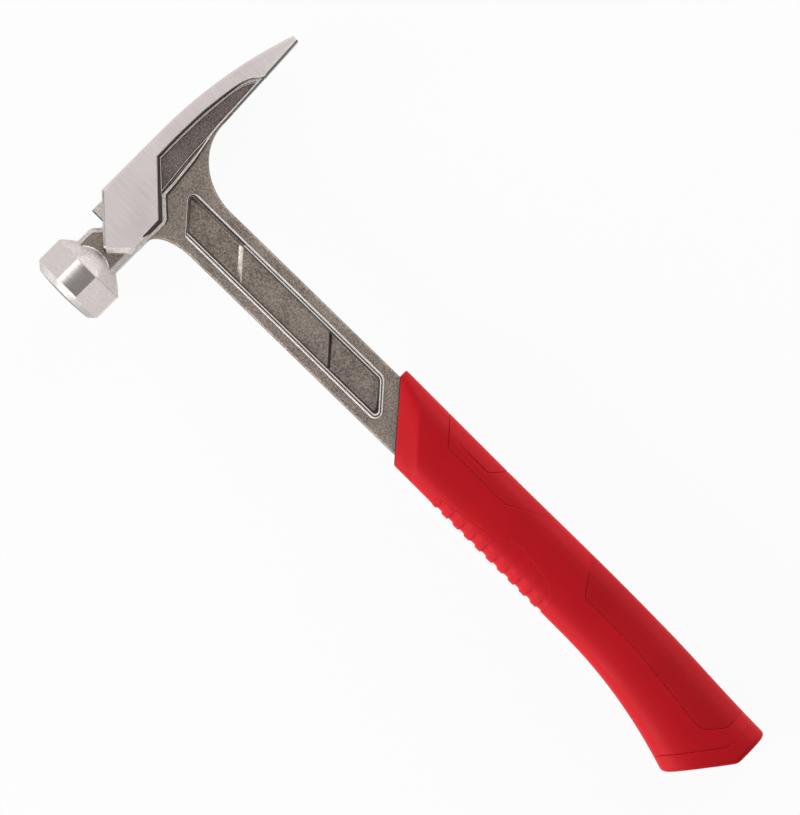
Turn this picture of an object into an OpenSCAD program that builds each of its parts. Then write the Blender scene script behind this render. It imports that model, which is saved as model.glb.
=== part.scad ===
// Framing hammer lying on its side: a one-piece steel forging, a nail magnet and a moulded grip.
// Outlines are drawn on a datum with x = 0 on the bell axis, y = 0 on the grip axis and z = 0 on
// the plane that halves the hammer. x runs from the head to the butt, y from the striking face to
// the claw, and z up.

/* [Head] */
// Grip axis to the middle of the striking face
face_reach = 68; // [66:0.5:74]
// Grip axis to the claw tips
claw_reach = 86.4; // [80:0.2:96]
// Bell axis to the top of the head
head_rise = 20.2; // [19:0.1:22]
// Thickness across the cheek plates and the claw
cheek_w = 25; // [22:0.5:28]
// Thickness across the neck and the ledge below the plates
neck_w = 16.4; // [14.6:0.2:18]
// Bell axis to the top of the neck
neck_rise = 11.9; // [11:0.1:13]
// Bell axis to the underside of the neck and the ledge
neck_drop = 9.8; // [9:0.1:11]
// Bell axis to the lower edge of the cheek plate
plate_drop = 7.2; // [6.4:0.1:8]
// Grip axis to the blunt tip of the cheek plate
plate_reach = 40; // [38:0.5:42]
// Grip axis to the top front corner of the cheek plate
plate_front = 22.2; // [20:0.2:24.5]
// Grip axis to the bend in the lower edge of the cheek plate
plate_bend = 13.5; // [12:0.5:15]

/* [Bell] */
// Width of the bell across its main flats
bell_w = 36.8; // [33:0.2:40]
// Width of each main flat
bell_flat_w = 12.8; // [10:0.2:15]
// Length of the flats along the bell axis
bell_flat_len = 13; // [11:0.5:15]
// Striking face to the start of the flats
bell_rim_len = 4; // [3:0.2:5]
// Diameter of the striking face inside its rim
face_d = 30; // [27:0.5:33]
// Height of the crown of the striking face
face_crown = 0.9; // [0.4:0.1:1.4]
// Angle of the cone behind the flats, from the bell axis
bell_back_angle = 49; // [45:1:54]

/* [Nail starter] */
// Width of the groove for the nail
groove_w = 5.2; // [4.6:0.1:6]
// Depth of the groove in the top of the neck
groove_bite = 0.7; // [0.5:0.1:1.2]
// Grip axis to the wall behind the nail head
nail_wall = 31.9; // [31:0.1:33]
// Bell axis to the floor of the nail head's seat
nail_seat_rise = 8.8; // [8.2:0.1:9.4]
// Bell axis to the top of the shoulder behind the nail head
shoulder_rise = 17; // [16:0.1:18]
// Diameter of the magnet
magnet_d = 4.6; // [4:0.1:5]
// Thickness of the magnet
magnet_t = 3; // [2:0.1:4]

/* [Claw] */
// Grip axis to where the top of the claw starts to curve
claw_bend = 15; // [10:1:20]
// Bell axis to the top of the claw tips
tip_rise = 8.5; // [7.5:0.1:9.5]
// Thickness of the claw tips
tip_t = 3; // [2.4:0.1:3.6]
// Bell axis to the underside of the claw at its root
claw_rise = 3.2; // [2.6:0.1:3.8]
// Grip axis to where the underside curves towards the shank
claw_root = 37; // [34:0.5:40]
// Run of that curve along the shank
claw_fillet = 30.2; // [26:0.2:34]
// Depth of the nail slot from the claw tips
slot_len = 42; // [36:1:48]
// Width of the nail slot at its root
slot_root_w = 3.2; // [2.6:0.1:4]
// Width of the nail slot at the claw tips
slot_tip_w = 10.5; // [9:0.1:12]
// Top of the claw to its dark side pocket
pocket_rim = 7.3; // [6.6:0.1:8]
// Depth of the side pocket below the ledge
pocket_depth = 0.9; // [0.5:0.1:1.4]

/* [Shank] */
// Width of the shank
shank_w = 26.8; // [24:0.2:29]
// Thickness of the shank
shank_t = 12.5; // [11.5:0.1:13.8]
// Shank's middle to the grip axis, at the bell axis
shank_set = 2.4; // [1.6:0.1:3]
// Lean of the shank
shank_lean = 0.8; // [0.5:0.1:1.1]
// Bevel along the edges of the shank
shank_bevel = 1; // [0.6:0.1:1.5]
// Run of the front fillet along the shank
front_fillet = 20; // [16:0.2:24]
// Bell axis to the lower corner of the side panel, beside the head
panel_start = 20.4; // [18:0.2:23]
// Length of the side panel along the shank
panel_len = 122; // [112:1:126]
// Width of the side panel
panel_w = 17; // [15:0.2:19]
// Depth of the side panel's ends
panel_depth = 2.7; // [2:0.1:3.4]
// Depth of the side panel's raised middle
middle_depth = 1.7; // [1.2:0.1:1.9]
// Height of the bead round the side panel
bead_h = 0.5; // [0.3:0.1:0.8]
// Width of the bead's crest
bead_w = 0.8; // [0.6:0.1:1.2]

/* [Tang] */
// Width of the tang inside the grip
tang_w = 18; // [15:0.5:20]
// Thickness of the tang
tang_t = 7.5; // [6:0.5:9]
// Length of each window through the tang
window_len = 28; // [22:1:32]
// Width of each window
window_w = 8; // [6:0.5:10]

/* [Grip] */
// Bell axis to the middle of the collar's edge
grip_start = 143.5; // [140:0.5:147]
// Bell axis to the butt
grip_end = 360; // [350:1:370]
// Depth of the grip, from finger side to palm side
grip_depth = 34; // [31:0.2:36]
// Thickness of the grip
grip_w = 27; // [25:0.5:30]
// Thickness at the collar's edge
collar_w = 17; // [16:0.2:20]
// Length of the collar's slope
collar_len = 13; // [10:0.5:16]
// Slant of the collar and of the side panel's ends
collar_slant = 41; // [36:0.5:44]
// Thickness of the grip at the butt
butt_w = 33; // [30:0.5:36]
// Extra depth of the finger side where it flares to the butt
butt_flare = 11.8; // [9:0.2:14]
// Length of the flare
flare_len = 73; // [65:1:80]
// Slant of the lower half of the butt
butt_slant = 37.3; // [32:0.5:42]
// Length of the butt cap
cap_len = 8; // [7:0.2:10]
// Wall of the sleeve over the core
sleeve_wall = 4; // [3.4:0.1:4.6]
// Thickness of the pads let into the sleeve
pad_t = 2.5; // [2:0.1:3]
// Number of finger ribs
rib_count = 10; // [6:1:12]
// Height of the finger ribs
rib_h = 0.7; // [0.4:0.1:1]

/* [Fits] */
// Clearance between pieces that seat in each other
fit_gap = 0.05; // [0.03:0.01:0.12]
// Open seam round the pads and the cap
seam_gap = 0.4; // [0.3:0.05:0.6]

/* [Hidden] */

// How far a cutter runs past what it cuts
overrun = 1;
// Half thicknesses of the forging's four levels
cheek_half = cheek_w / 2;
neck_half = neck_w / 2;
web_half = shank_t / 2;
tang_half = tang_t / 2;
// Middle of the whole hammer, which stands over the origin
middle_x = (grip_end - head_rise) / 2;
middle_y = (claw_reach - face_reach) / 2;

// Width of the plate's blunt tip, and of the slope under each of its edges
tip_flat = 1.6;
top_slope = 0.4;
front_slope = 1;
chin_slope = 2;
plate_slope = 1.2;
// Width of the neck's bevels and of the slope below the ledge
neck_bevel = 2;
ledge_slope = 1;
// Top of the head to the plate's tip, and how far the plate's heel lies before the grip axis
tip_drop = 19.4;
plate_heel = 5;
// Length of the nail head's seat and of the ramp in front of it
nail_seat_len = 2.1;
nail_ramp_len = 3;
// Grip axis to the magnet
magnet_reach = 40.5;
// Start and end of the claw's side pocket, its margin inside the plate, its far edge's distance
// from the bell axis and the claw's underside, and the slope of its wall
pocket_start = 5.8;
pocket_end = 61.5;
pocket_margin = 1;
pocket_inset = 1;
pocket_slope = 0.5;
// Places of the points along the pocket and along the tines
pocket_shares = [0.32, 0.55, 0.72, 0.85, 0.94];
tine_shares = [0.3, 0.65, 1];
// Where the ledge meets the claw's underside, how far the ledge reaches into the plate, and the
// front fillet's start at the neck
ledge_end = 33;
ledge_sink_share = 0.5;
fillet_start = 24.5;
// Radii of the side panel's corners, in order from the one beside the neck
panel_radii = [1.5, 3.5, 3, 4.5];
panel_corner_min = 0.5;
// Slope of the panel's wall and of its middle's cross steps
panel_wall_slope = 1.4;
step_slope = 1.2;
// Where the raised middle starts and ends along the panel
middle_start_share = 0.24;
middle_end_share = 0.69;
// How far the shank runs into the grip before the tang takes over, and the tang's end from the butt
shank_insert = 18;
tang_stop = 22;
shank_end = grip_start + shank_insert;
tang_end = grip_end - tang_stop;
window_shares = [0.24, 0.51, 0.78];
// The core's start from the collar's edge and its end from the butt
core_lead = 26;
core_stop = 5;
core_start = grip_start + core_lead;
core_end = grip_end - core_stop;
cap_start = grip_end - cap_len;
// Roundness of the grip's section at the collar and along the grip, as a superellipse power
collar_power = 5;
grip_power = 2.7;
// Length over which the collar's slant fades, and over which the butt's slant comes in
slant_fade = 50;
butt_fade = 62;
// How far the collar's square corner lies behind the grip axis, and the butt's bend before it
collar_turn = 13;
butt_bend = 2.5;
// Butt to the start of the flare
flare_run = 95;
flare_start = grip_end - flare_run;
// Swell and fall of the palm side
palm_swell = 0.6;
palm_fall = 1.7;
fall_len = 65;
// Rounding of the butt's rim
butt_round = 2.4;
butt_round_shares = [[0, 0], [0.4, 0.08], [0.75, 0.32], [0.93, 0.65], [1, 1]];
// Counts of points and rings, and of tries at a slanted ring's finger side
ring_sides = 32;
sleeve_stations = 20;
core_stations = 10;
crown_steps = 4;
fillet_steps = 8;
lean_tries = 5;
collar_shares = [0, 0.3, 0.65];
// Places of the pads' corners, anticlockwise: along the grip from the collar, and across its half depth
finger_shares = [[0.503, -2], [0.487, -0.6], [0.44, -0.32], [0.355, -0.3], [0.18, -0.75], [0.155, -2]];
thumb_shares = [[0.047, 2], [0.112, 0.335], [0.276, 0.335], [0.352, 2]];
palm_shares = [[0.473, 2], [0.532, 0.09], [0.682, 0.09], [0.888, -0.18], [0.921, 0.12], [0.93, 2]];
// Where the finger ribs run, and the share of each pitch that a rib fills
rib_run_shares = [0.175, 0.495];
rib_fill_share = 0.7;
rib_edge_share = 0.15;
// How quickly a rib rises round the finger side
rib_rise = 2;

// Drawing helpers

// A closed loop, out along one chain and back along another of as many points
function loop(out, back) = concat(out, [for (i = [len(back) - 1 : -1 : 0]) back[i]]);

// The unit normal that points into a loop drawn anticlockwise, at the edge from p to q
function inward(p, q) = [p.y - q.y, q.x - p.x] / norm(q - p);

// The loop with each edge moved inwards by its own amount, or all by one amount
function shifted(points, moves) = let (n = len(points)) [for (i = [0 : n - 1])
    let (
        p = points[i],
        before = inward(points[(i + n - 1) % n], p),
        after = inward(p, points[(i + 1) % n]),
        a = is_list(moves) ? moves[(i + n - 1) % n] : moves,
        b = is_list(moves) ? moves[i] : moves,
        turn = cross(before, after)
    )
    abs(turn) < 0.01 ? p + before * (a + b) / 2
        : p + [a * after.y - b * before.y, before.x * b - after.x * a] / turn];

// The loop with each corner rounded to its own radius
function rounded(points, radii, steps = 5) = let (n = len(points)) [for (i = [0 : n - 1])
    let (
        p = points[i],
        a = points[(i + n - 1) % n] - p,
        b = points[(i + 1) % n] - p,
        u = a / norm(a),
        v = b / norm(b),
        reach = radii[i] / tan(acos(u * v) / 2)
    )
    for (k = [0 : steps]) let (t = k / steps) p + u * reach * pow(1 - t, 2) + v * reach * pow(t, 2)];

// A loop lifted to a height
function lifted(points, z) = [for (p = points) [p.x, p.y, z]];

function clamped(t) = min(max(t, 0), 1);
function eased(t) = let (u = clamped(t)) u * u * (3 - 2 * u);
function signed_power(v, e) = sign(v) * pow(abs(v), e);
function part_way(a, b, t) = a + (b - a) * t;

// A closed solid through rows of points, each row with as many points as the last
module skin(rows) {
    n = len(rows[0]);
    last = (len(rows) - 1) * n;
    walls = [for (k = [0 : len(rows) - 2]) for (i = [0 : n - 1])
        let (a = k * n + i, b = k * n + (i + 1) % n) each [[a, a + n, b], [a + n, b + n, b]]];
    low = [for (i = [0 : n / 2 - 2]) each [[i, i + 1, n - 1 - i], [i + 1, n - 2 - i, n - 1 - i]]];
    high = [for (f = low) [last + f[0], last + f[2], last + f[1]]];
    polyhedron(points = [for (row = rows) each row], faces = concat(walls, low, high));
}

// A slab with a full outline up to one height and a narrower one at its two faces
module sloped_slab(points, moves, low, high) {
    narrow = shifted(points, moves);
    skin([lifted(narrow, -high), lifted(points, -low), lifted(points, low), lifted(narrow, high)]);
}

// A shape and its mirror image on the other side of the middle plane
module both_sides() {
    children();
    mirror([0, 0, 1]) children();
}

// Moves the datum so that the hammer stands over the origin, on its lowest flat
module stood() {
    translate([-middle_x, -middle_y, bell_w / 2]) children();
}

// The shank's own axes: along it, across it and up
module along_shank() {
    translate([0, -shank_set, 0]) rotate([0, 0, shank_lean]) children();
}

// A bar along x from a section drawn across it
module bar(from, to, section) {
    translate([from, 0, 0]) rotate([90, 0, 90]) linear_extrude(to - from) polygon(section);
}

// Outlines of the forging

function claw_top(y) = let (
    run = claw_reach - claw_bend,
    drop = head_rise - tip_rise,
    radius = (run * run + drop * drop) / (2 * drop),
    past = max(0, y - claw_bend)
) -head_rise + radius - sqrt(radius * radius - past * past);

function claw_under(y) =
    -part_way(claw_rise, tip_rise - tip_t, clamped((y - claw_root) / (claw_reach - claw_root)));

function shank_edge(x, side) = -shank_set + x * tan(shank_lean) + side * shank_w / 2 / cos(shank_lean);

function pocket_side(y) = claw_top(y) + pocket_rim;

// Cheek plate and claw: the lower chain and the top chain, from the plate's tip to the claw's
plate_tip_x = tip_drop - head_rise;
plate_lower_y = plate_drop - plate_tip_x - tip_flat / 2 - plate_reach;
claw_ys = [for (t = pocket_shares) part_way(pocket_start, pocket_end, t)];
tine_ys = [for (t = tine_shares) part_way(pocket_end, claw_reach, t)];
plate_lower = concat(
    [
        [plate_tip_x + tip_flat / 2, -plate_reach],
        [plate_drop, plate_lower_y],
        [plate_drop, -plate_bend],
        [0, -plate_heel],
        [pocket_side(pocket_start), pocket_start]
    ],
    [for (y = claw_ys) [pocket_side(y), y]],
    [[claw_under(pocket_end), pocket_end]],
    [for (y = tine_ys) [claw_under(y), y]]
);
plate_upper = concat(
    [
        [plate_tip_x - tip_flat / 2, -plate_reach],
        [-head_rise, -plate_front],
        [-head_rise, -plate_bend],
        [-head_rise, -plate_heel],
        [-head_rise, pocket_start]
    ],
    [for (y = claw_ys) [claw_top(y), y]],
    [[claw_top(pocket_end), pocket_end]],
    [for (y = tine_ys) [claw_top(y), y]]
);
plate_loop = loop(plate_lower, plate_upper);
plate_count = len(plate_lower);
plate_slopes = concat(
    [chin_slope],
    [for (i = [2 : plate_count - 1]) plate_slope],
    [top_slope],
    [for (i = [2 : plate_count - 1]) top_slope],
    [front_slope, front_slope]
);

// Neck, shoulder and ledge: the lower chain and the top chain, from the bell to the claw
ledge_margin = neck_drop - plate_drop;
ledge_corners = shifted(plate_loop, -ledge_margin);
neck_start = face_reach - bell_rim_len - bell_flat_len;
neck_upper = [
    [-neck_rise, -neck_start],
    [-neck_rise, -nail_wall - nail_seat_len - nail_ramp_len],
    [-nail_seat_rise, -nail_wall - nail_seat_len],
    [-nail_seat_rise, -nail_wall],
    [-shoulder_rise, -nail_wall],
    [-shoulder_rise, -plate_front]
];
neck_lower_ys = [-neck_start, -nail_wall - nail_seat_len - nail_ramp_len, -nail_wall - nail_seat_len,
    -nail_wall - nail_seat_len / 2, -nail_wall + nail_seat_len / 2, -plate_front];
ledge_lower = concat(
    [for (y = neck_lower_ys) [neck_drop, y]],
    [ledge_corners[2], ledge_corners[3]],
    [for (y = [ledge_end, claw_root, pocket_end]) [claw_under(y), y]]
);
ledge_upper = concat(
    neck_upper,
    [[-shoulder_rise, -plate_bend], [-shoulder_rise, -plate_heel]],
    [for (y = [ledge_end, claw_root, tine_ys[0]])
        [part_way(claw_top(y), pocket_side(y), ledge_sink_share), y]]
);
ledge_loop = loop(ledge_lower, ledge_upper);
ledge_count = len(ledge_lower);
neck_count = len(neck_lower_ys);
ledge_slopes = concat(
    [for (i = [1 : neck_count]) neck_bevel],
    [for (i = [neck_count + 2 : ledge_count]) ledge_slope],
    [for (i = [1 : ledge_count - 1]) 0],
    [neck_bevel, 0]
);

// Web between the head and the shank: its front and back fillets, in rows across it
claw_foot = claw_fillet - claw_rise;
front_foot = neck_drop + front_fillet;
web_turn = acos((claw_foot - neck_drop) / claw_fillet);
web_xs = concat(
    [-claw_rise - tip_t],
    [for (i = [0 : fillet_steps]) claw_foot - claw_fillet * cos(web_turn * i / fillet_steps)],
    [for (i = [1 : fillet_steps]) front_foot - front_fillet * cos(90 * i / fillet_steps)]
);

// How far a quarter ellipse has come at x, from 0 where it starts to 1 at its foot
function arc_share(x, foot, run) = sqrt(1 - pow(clamped((foot - x) / run), 2));

web_front = [for (x = web_xs)
    [x, part_way(-fillet_start, shank_edge(front_foot, -1), arc_share(x, front_foot, front_fillet))]];
web_back = [for (x = web_xs)
    [x, part_way(claw_root, shank_edge(claw_foot, 1), arc_share(x, claw_foot, claw_fillet))]];
web_loop = loop(web_front, web_back);
web_slopes = concat(
    [for (i = [0 : fillet_steps]) 0],
    [for (i = [1 : fillet_steps]) shank_bevel],
    [0],
    [for (i = [1 : 2 * fillet_steps]) shank_bevel],
    [0, 0]
);

// Side panel of the shank, in the shank's own axes
panel_lean = tan(collar_slant);
panel_corners = [
    [panel_start, -panel_w / 2],
    [panel_start + panel_len, -panel_w / 2],
    [panel_start + panel_len - panel_w * panel_lean, panel_w / 2],
    [panel_start - panel_w * panel_lean, panel_w / 2]
];

function panel_loop(inset) = rounded(
    shifted(panel_corners, inset), [for (r = panel_radii) max(r - inset, panel_corner_min)]);

// Slanted loop across the panel, from one share of its length to another
function cross_loop(from, to) = let (
    half = panel_w / 2,
    a = panel_start + panel_len * from,
    b = panel_start + panel_len * to
) [
    [a, -half],
    [b, -half],
    [b - 2 * half * panel_lean, half],
    [a - 2 * half * panel_lean, half]
];

// Claw pocket: a shallow step inside the plate's edge
pocket_loop = shifted(loop(
    concat(
        [[-pocket_inset, pocket_inset - plate_heel]],
        [for (y = claw_ys)
            [part_way(0, claw_under(pocket_end), y / pocket_end) - pocket_inset, y]]
    ),
    concat(
        [[pocket_side(pocket_start), pocket_start]],
        [for (y = claw_ys) [pocket_side(y), y]]
    )
), pocket_margin);

// Forging

module bell() {
    half = bell_w / 2;
    flat = bell_flat_w / 2;
    outer = norm([half, flat]) + overrun;
    rim_run = (bell_rim_len - face_crown) / (half - face_d / 2);
    back_run = 1 / tan(bell_back_angle);
    back = bell_rim_len + bell_flat_len;
    crown_r = (pow(face_d / 2, 2) + pow(face_crown, 2)) / (2 * face_crown);
    crown_angle = asin(face_d / 2 / crown_r);
    octagon = [[half, flat], [flat, half], [-flat, half], [-half, flat],
        [-half, -flat], [-flat, -half], [flat, -half], [half, -flat]];
    profile = concat(
        [for (i = [0 : crown_steps]) let (a = crown_angle * i / crown_steps)
            [crown_r * sin(a), crown_r * (1 - cos(a))]],
        [
            [outer, bell_rim_len + (outer - half) * rim_run],
            [outer, back - (outer - half) * back_run],
            [flat, back + (half - flat) * back_run],
            [0, back + (half - flat) * back_run]
        ]
    );
    translate([0, -face_reach, 0]) rotate([-90, 0, 0]) intersection() {
        linear_extrude(face_reach) polygon(octagon);
        rotate_extrude($fn = 96) polygon(profile);
    }
}

module shank_bar(grow) {
    half_w = shank_w / 2 + grow;
    half_t = web_half + grow;
    b = shank_bevel;
    along_shank() bar(min(front_foot, claw_foot) - overrun, shank_end + grow, [
        [half_w, half_t - b], [half_w - b, half_t], [b - half_w, half_t], [-half_w, half_t - b],
        [-half_w, b - half_t], [b - half_w, -half_t], [half_w - b, -half_t], [half_w, b - half_t]
    ]);
}

module tang(grow) {
    half_w = tang_w / 2 + grow;
    half_t = tang_half + grow;
    round_r = tang_w / 4 + grow;
    open_w = window_w - 2 * grow;
    open_run = (window_len - window_w) / 2;
    difference() {
        union() {
            translate([shank_end - overrun, -half_w, -half_t])
                cube([tang_end - tang_w / 4 - shank_end + overrun, 2 * half_w, 2 * half_t]);
            for (side = [-1, 1])
                translate([tang_end - tang_w / 4, side * tang_w / 4, -half_t])
                    cylinder(r = round_r, h = 2 * half_t, $fn = 48);
            translate([tang_end - tang_w / 2, -tang_w / 4, -half_t])
                cube([tang_w / 2 + grow, tang_w / 2, 2 * half_t]);
        }
        for (share = window_shares) {
            x = part_way(shank_end, tang_end, share);
            translate([x - open_run, -open_w / 2, -half_t - overrun])
                cube([2 * open_run, open_w, 2 * (half_t + overrun)]);
            for (end = [-1, 1])
                translate([x + end * open_run, 0, -half_t - overrun])
                    cylinder(d = open_w, h = 2 * (half_t + overrun), $fn = 48);
        }
    }
}

module nail_slot() {
    root = claw_reach - slot_len;
    far = claw_reach + overrun;
    root_r = slot_root_w / 2;
    tip_r = slot_tip_w / 2;
    translate([-head_rise - overrun, 0, 0]) {
        rotate([90, 0, 90]) linear_extrude(head_rise + overrun)
            polygon([[root, -root_r], [far, -tip_r], [far, tip_r], [root, root_r]]);
        translate([0, root, 0]) rotate([0, 90, 0])
            cylinder(r = root_r, h = head_rise + overrun, $fn = 32);
    }
}

module nail_groove() {
    r = groove_w / 2;
    floor_x = groove_bite - neck_rise;
    length = face_reach - nail_wall + overrun;
    translate([floor_x - r, -nail_wall, 0]) {
        rotate([90, 0, 0]) cylinder(r = r, h = length, $fn = 48);
        translate([-head_rise, -length, -r]) cube([head_rise, length, groove_w]);
    }
}

module magnet_bore() {
    translate([groove_bite - neck_rise - overrun, -magnet_reach, 0]) rotate([0, 90, 0])
        cylinder(d = magnet_d + 2 * fit_gap, h = magnet_t + fit_gap + overrun, $fn = 48);
}

module claw_pocket() {
    floor_z = neck_half - pocket_depth;
    wide = shifted(pocket_loop, -pocket_slope * overrun / pocket_depth);
    narrow = shifted(pocket_loop, pocket_slope);
    skin([lifted(narrow, floor_z), lifted(wide, neck_half + overrun)]);
}

module panel_bead() {
    skin([lifted(panel_loop(-bead_h - overrun), web_half - overrun),
        lifted(panel_loop(0), web_half + bead_h)]);
}

module panel_pocket() {
    floor_z = web_half - panel_depth;
    top_z = web_half + bead_h;
    rise = panel_wall_slope / (top_z - floor_z);
    skin([lifted(panel_loop(bead_w + panel_wall_slope), floor_z),
        lifted(panel_loop(bead_w - rise * overrun), top_z + overrun)]);
}

module panel_middle() {
    low = cross_loop(middle_start_share, middle_end_share);
    skin([lifted(shifted(low, [0, -step_slope, 0, -step_slope]), web_half - panel_depth - overrun),
        lifted(low, web_half - middle_depth)]);
}

module forging() {
    difference() {
        union() {
            bell();
            sloped_slab(plate_loop, plate_slopes, neck_half, cheek_half);
            difference() {
                sloped_slab(ledge_loop, ledge_slopes, web_half, neck_half);
                both_sides() claw_pocket();
            }
            sloped_slab(web_loop, web_slopes, web_half - shank_bevel, web_half);
            difference() {
                union() {
                    shank_bar(0);
                    both_sides() along_shank() panel_bead();
                }
                both_sides() along_shank() panel_pocket();
            }
            both_sides() along_shank() panel_middle();
            tang(0);
        }
        nail_slot();
        nail_groove();
        magnet_bore();
    }
}

// Grip surface

// Extra distance along x, at a station s and a height y, that slants the rings at both ends
function ring_lean(s, y) =
    -tan(collar_slant) * min(y, collar_turn) * (1 - eased((s - grip_start - collar_len) / slant_fade))
    - tan(butt_slant) * max(0, -butt_bend - y) * eased((s - cap_start + butt_fade) / butt_fade);

// Grip axis to the finger side and to the palm side, at x
function finger_side(x) = grip_depth / 2 + butt_flare * pow(max(0, x - flare_start) / flare_len, 2);
function palm_side(x) = grip_depth / 2
    + palm_swell * (1 + cos(180 * min(1, abs(x - flare_start) / flare_len))) / 2
    - palm_fall * eased((x - grip_end + fall_len) / fall_len);

// The finger side of a slanted ring, found by closing in on it
function ring_front(s, y, tries) =
    tries == 0 ? y : ring_front(s, finger_side(s + ring_lean(s, -y)), tries - 1);

function ring_half(s) =
    part_way(collar_w, grip_w, clamped((s - grip_start) / collar_len)) / 2
    + (butt_w - grip_w) / 2 * eased((s - flare_start) / flare_len);

function ring_power(s) = part_way(collar_power, grip_power, eased((s - grip_start) / collar_len));

// One ring of the grip at station s, inset from the outer surface, and pushed out by ribs in front
function ring(s, inset, rib = 0) = let (
    front = ring_front(s, grip_depth / 2, lean_tries),
    back = palm_side(s),
    mid = (back - front) / 2,
    half_y = (back + front) / 2 - inset,
    half_z = ring_half(s) - inset,
    power = 2 / ring_power(s)
) [for (i = [0 : ring_sides - 1])
    let (
        a = 360 * (i + 0.5) / ring_sides,
        out = rib * eased(-rib_rise * cos(a)),
        y = mid + (half_y + out) * signed_power(cos(a), power),
        z = (half_z + out) * signed_power(sin(a), power)
    )
    [s + ring_lean(s, y), y, z]];

collar_stations = [for (t = collar_shares) grip_start + collar_len * t];
body_stations = [for (i = [0 : sleeve_stations])
    part_way(grip_start + collar_len, cap_start, i / sleeve_stations)];
inner_stations = [for (i = [0 : core_stations]) part_way(core_start, core_end, i / core_stations)];

// The grip's outer form from the collar to the cap
module sleeve_form() {
    skin([for (s = concat(collar_stations, body_stations)) ring(s, 0)]);
}

// The core's form, which the sleeve and the cap close over with a clearance
module core_form(grow) {
    skin([for (s = inner_stations) ring(s + (s == core_end ? grow : 0), sleeve_wall - grow)]);
}

// The grip's form sunk by a pad's thickness, from before the collar to past the cap
module pad_floor(sink) {
    skin([for (s = concat([grip_start], body_stations, [grip_end])) ring(s, sink)]);
}

// A pad's corners in the side view
function pad_corners(shares) = [for (p = shares)
    [part_way(grip_start, grip_end, p.x), p.y * grip_depth / 2]];

module pad_prism(corners) {
    linear_extrude(2 * butt_w, center = true) polygon(corners);
}

// The pocket in the sleeve for a pad, with the open seam round it
module pad_pocket(shares) {
    pad_prism(shifted(pad_corners(shares), -seam_gap));
}

module pad(shares) {
    intersection() {
        difference() {
            pad_prism(pad_corners(shares));
            pad_floor(pad_t);
        }
        children();
    }
}

rib_pitch_share = (rib_run_shares[1] - rib_run_shares[0]) / rib_count;
rib_profile_shares = [[0, 0], [rib_edge_share, 1], [rib_fill_share - rib_edge_share, 1],
    [rib_fill_share, 0]];

// The ribbed outer form of the finger pad
module ribbed_form() {
    ribs = [for (i = [0 : rib_count - 1]) for (p = rib_profile_shares)
        [rib_run_shares[0] + (i + p.x) * rib_pitch_share, p.y * rib_h]];
    first = min([for (p = finger_shares) p.x]) - rib_pitch_share;
    last = max([for (p = finger_shares) p.x]) + rib_pitch_share;
    stations = concat([[first, 0]], ribs, [[last, 0]]);
    skin([for (p = stations) ring(part_way(grip_start, grip_end, p.x), 0, p.y)]);
}

// Sub-parts

module forged_body() {
    color("silver") stood() forging();
}

module nail_magnet() {
    color("dimgray") stood()
        translate([groove_bite - neck_rise + fit_gap, -magnet_reach, 0]) rotate([0, 90, 0])
            cylinder(d = magnet_d, h = magnet_t - fit_gap, $fn = 48);
}

module grip_core() {
    color("black") stood() difference() {
        core_form(0);
        tang(fit_gap);
    }
}

module grip_sleeve() {
    color("firebrick") stood() difference() {
        sleeve_form();
        core_form(fit_gap);
        shank_bar(fit_gap);
        tang(fit_gap);
        difference() {
            union() {
                pad_pocket(finger_shares);
                pad_pocket(thumb_shares);
                pad_pocket(palm_shares);
            }
            pad_floor(pad_t + fit_gap);
        }
    }
}

module finger_pad() {
    color("crimson") stood() pad(finger_shares) ribbed_form();
}

module thumb_pad() {
    color("brown") stood() pad(thumb_shares) sleeve_form();
}

module palm_pad() {
    color("brown") stood() pad(palm_shares) sleeve_form();
}

module butt_cap() {
    color("firebrick") stood() difference() {
        skin(concat(
            [ring(cap_start + seam_gap, 0)],
            [for (p = butt_round_shares) ring(grip_end - butt_round * (1 - p.x), butt_round * p.y)]
        ));
        core_form(fit_gap);
    }
}

forged_body();
nail_magnet();
grip_core();
grip_sleeve();
finger_pad();
thumb_pad();
palm_pad();
butt_cap();
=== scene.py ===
"""Framing hammer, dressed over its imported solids: one steel forging, a nail magnet and a moulded grip.

Outlines are drawn in millimetres on the hammer's own datum. x runs from the bell axis to the butt,
y from the striking face to the claw, and z up from the plane that halves the hammer.
"""

import logging
import math
from collections.abc import Callable, Sequence
from dataclasses import dataclass
from enum import Enum

import bmesh
import bpy
import numpy as np
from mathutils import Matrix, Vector


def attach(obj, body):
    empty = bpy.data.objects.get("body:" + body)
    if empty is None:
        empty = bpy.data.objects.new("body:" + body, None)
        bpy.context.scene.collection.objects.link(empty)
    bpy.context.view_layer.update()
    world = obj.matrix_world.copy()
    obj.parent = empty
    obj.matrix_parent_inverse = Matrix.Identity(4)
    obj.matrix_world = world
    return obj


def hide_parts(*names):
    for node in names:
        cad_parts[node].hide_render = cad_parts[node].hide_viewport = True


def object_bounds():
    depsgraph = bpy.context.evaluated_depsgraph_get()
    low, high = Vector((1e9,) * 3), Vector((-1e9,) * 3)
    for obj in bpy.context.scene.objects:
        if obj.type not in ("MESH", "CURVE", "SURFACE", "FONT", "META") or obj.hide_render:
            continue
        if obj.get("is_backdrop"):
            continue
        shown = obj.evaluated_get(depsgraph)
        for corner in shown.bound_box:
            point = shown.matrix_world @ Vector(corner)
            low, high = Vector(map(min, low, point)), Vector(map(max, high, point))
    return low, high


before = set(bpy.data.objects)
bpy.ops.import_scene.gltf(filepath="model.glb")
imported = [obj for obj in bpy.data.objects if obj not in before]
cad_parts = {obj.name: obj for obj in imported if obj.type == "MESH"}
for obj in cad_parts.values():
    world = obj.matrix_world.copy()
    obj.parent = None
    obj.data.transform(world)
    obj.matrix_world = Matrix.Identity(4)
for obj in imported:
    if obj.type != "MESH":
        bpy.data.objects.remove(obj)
CAD_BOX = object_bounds()

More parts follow.
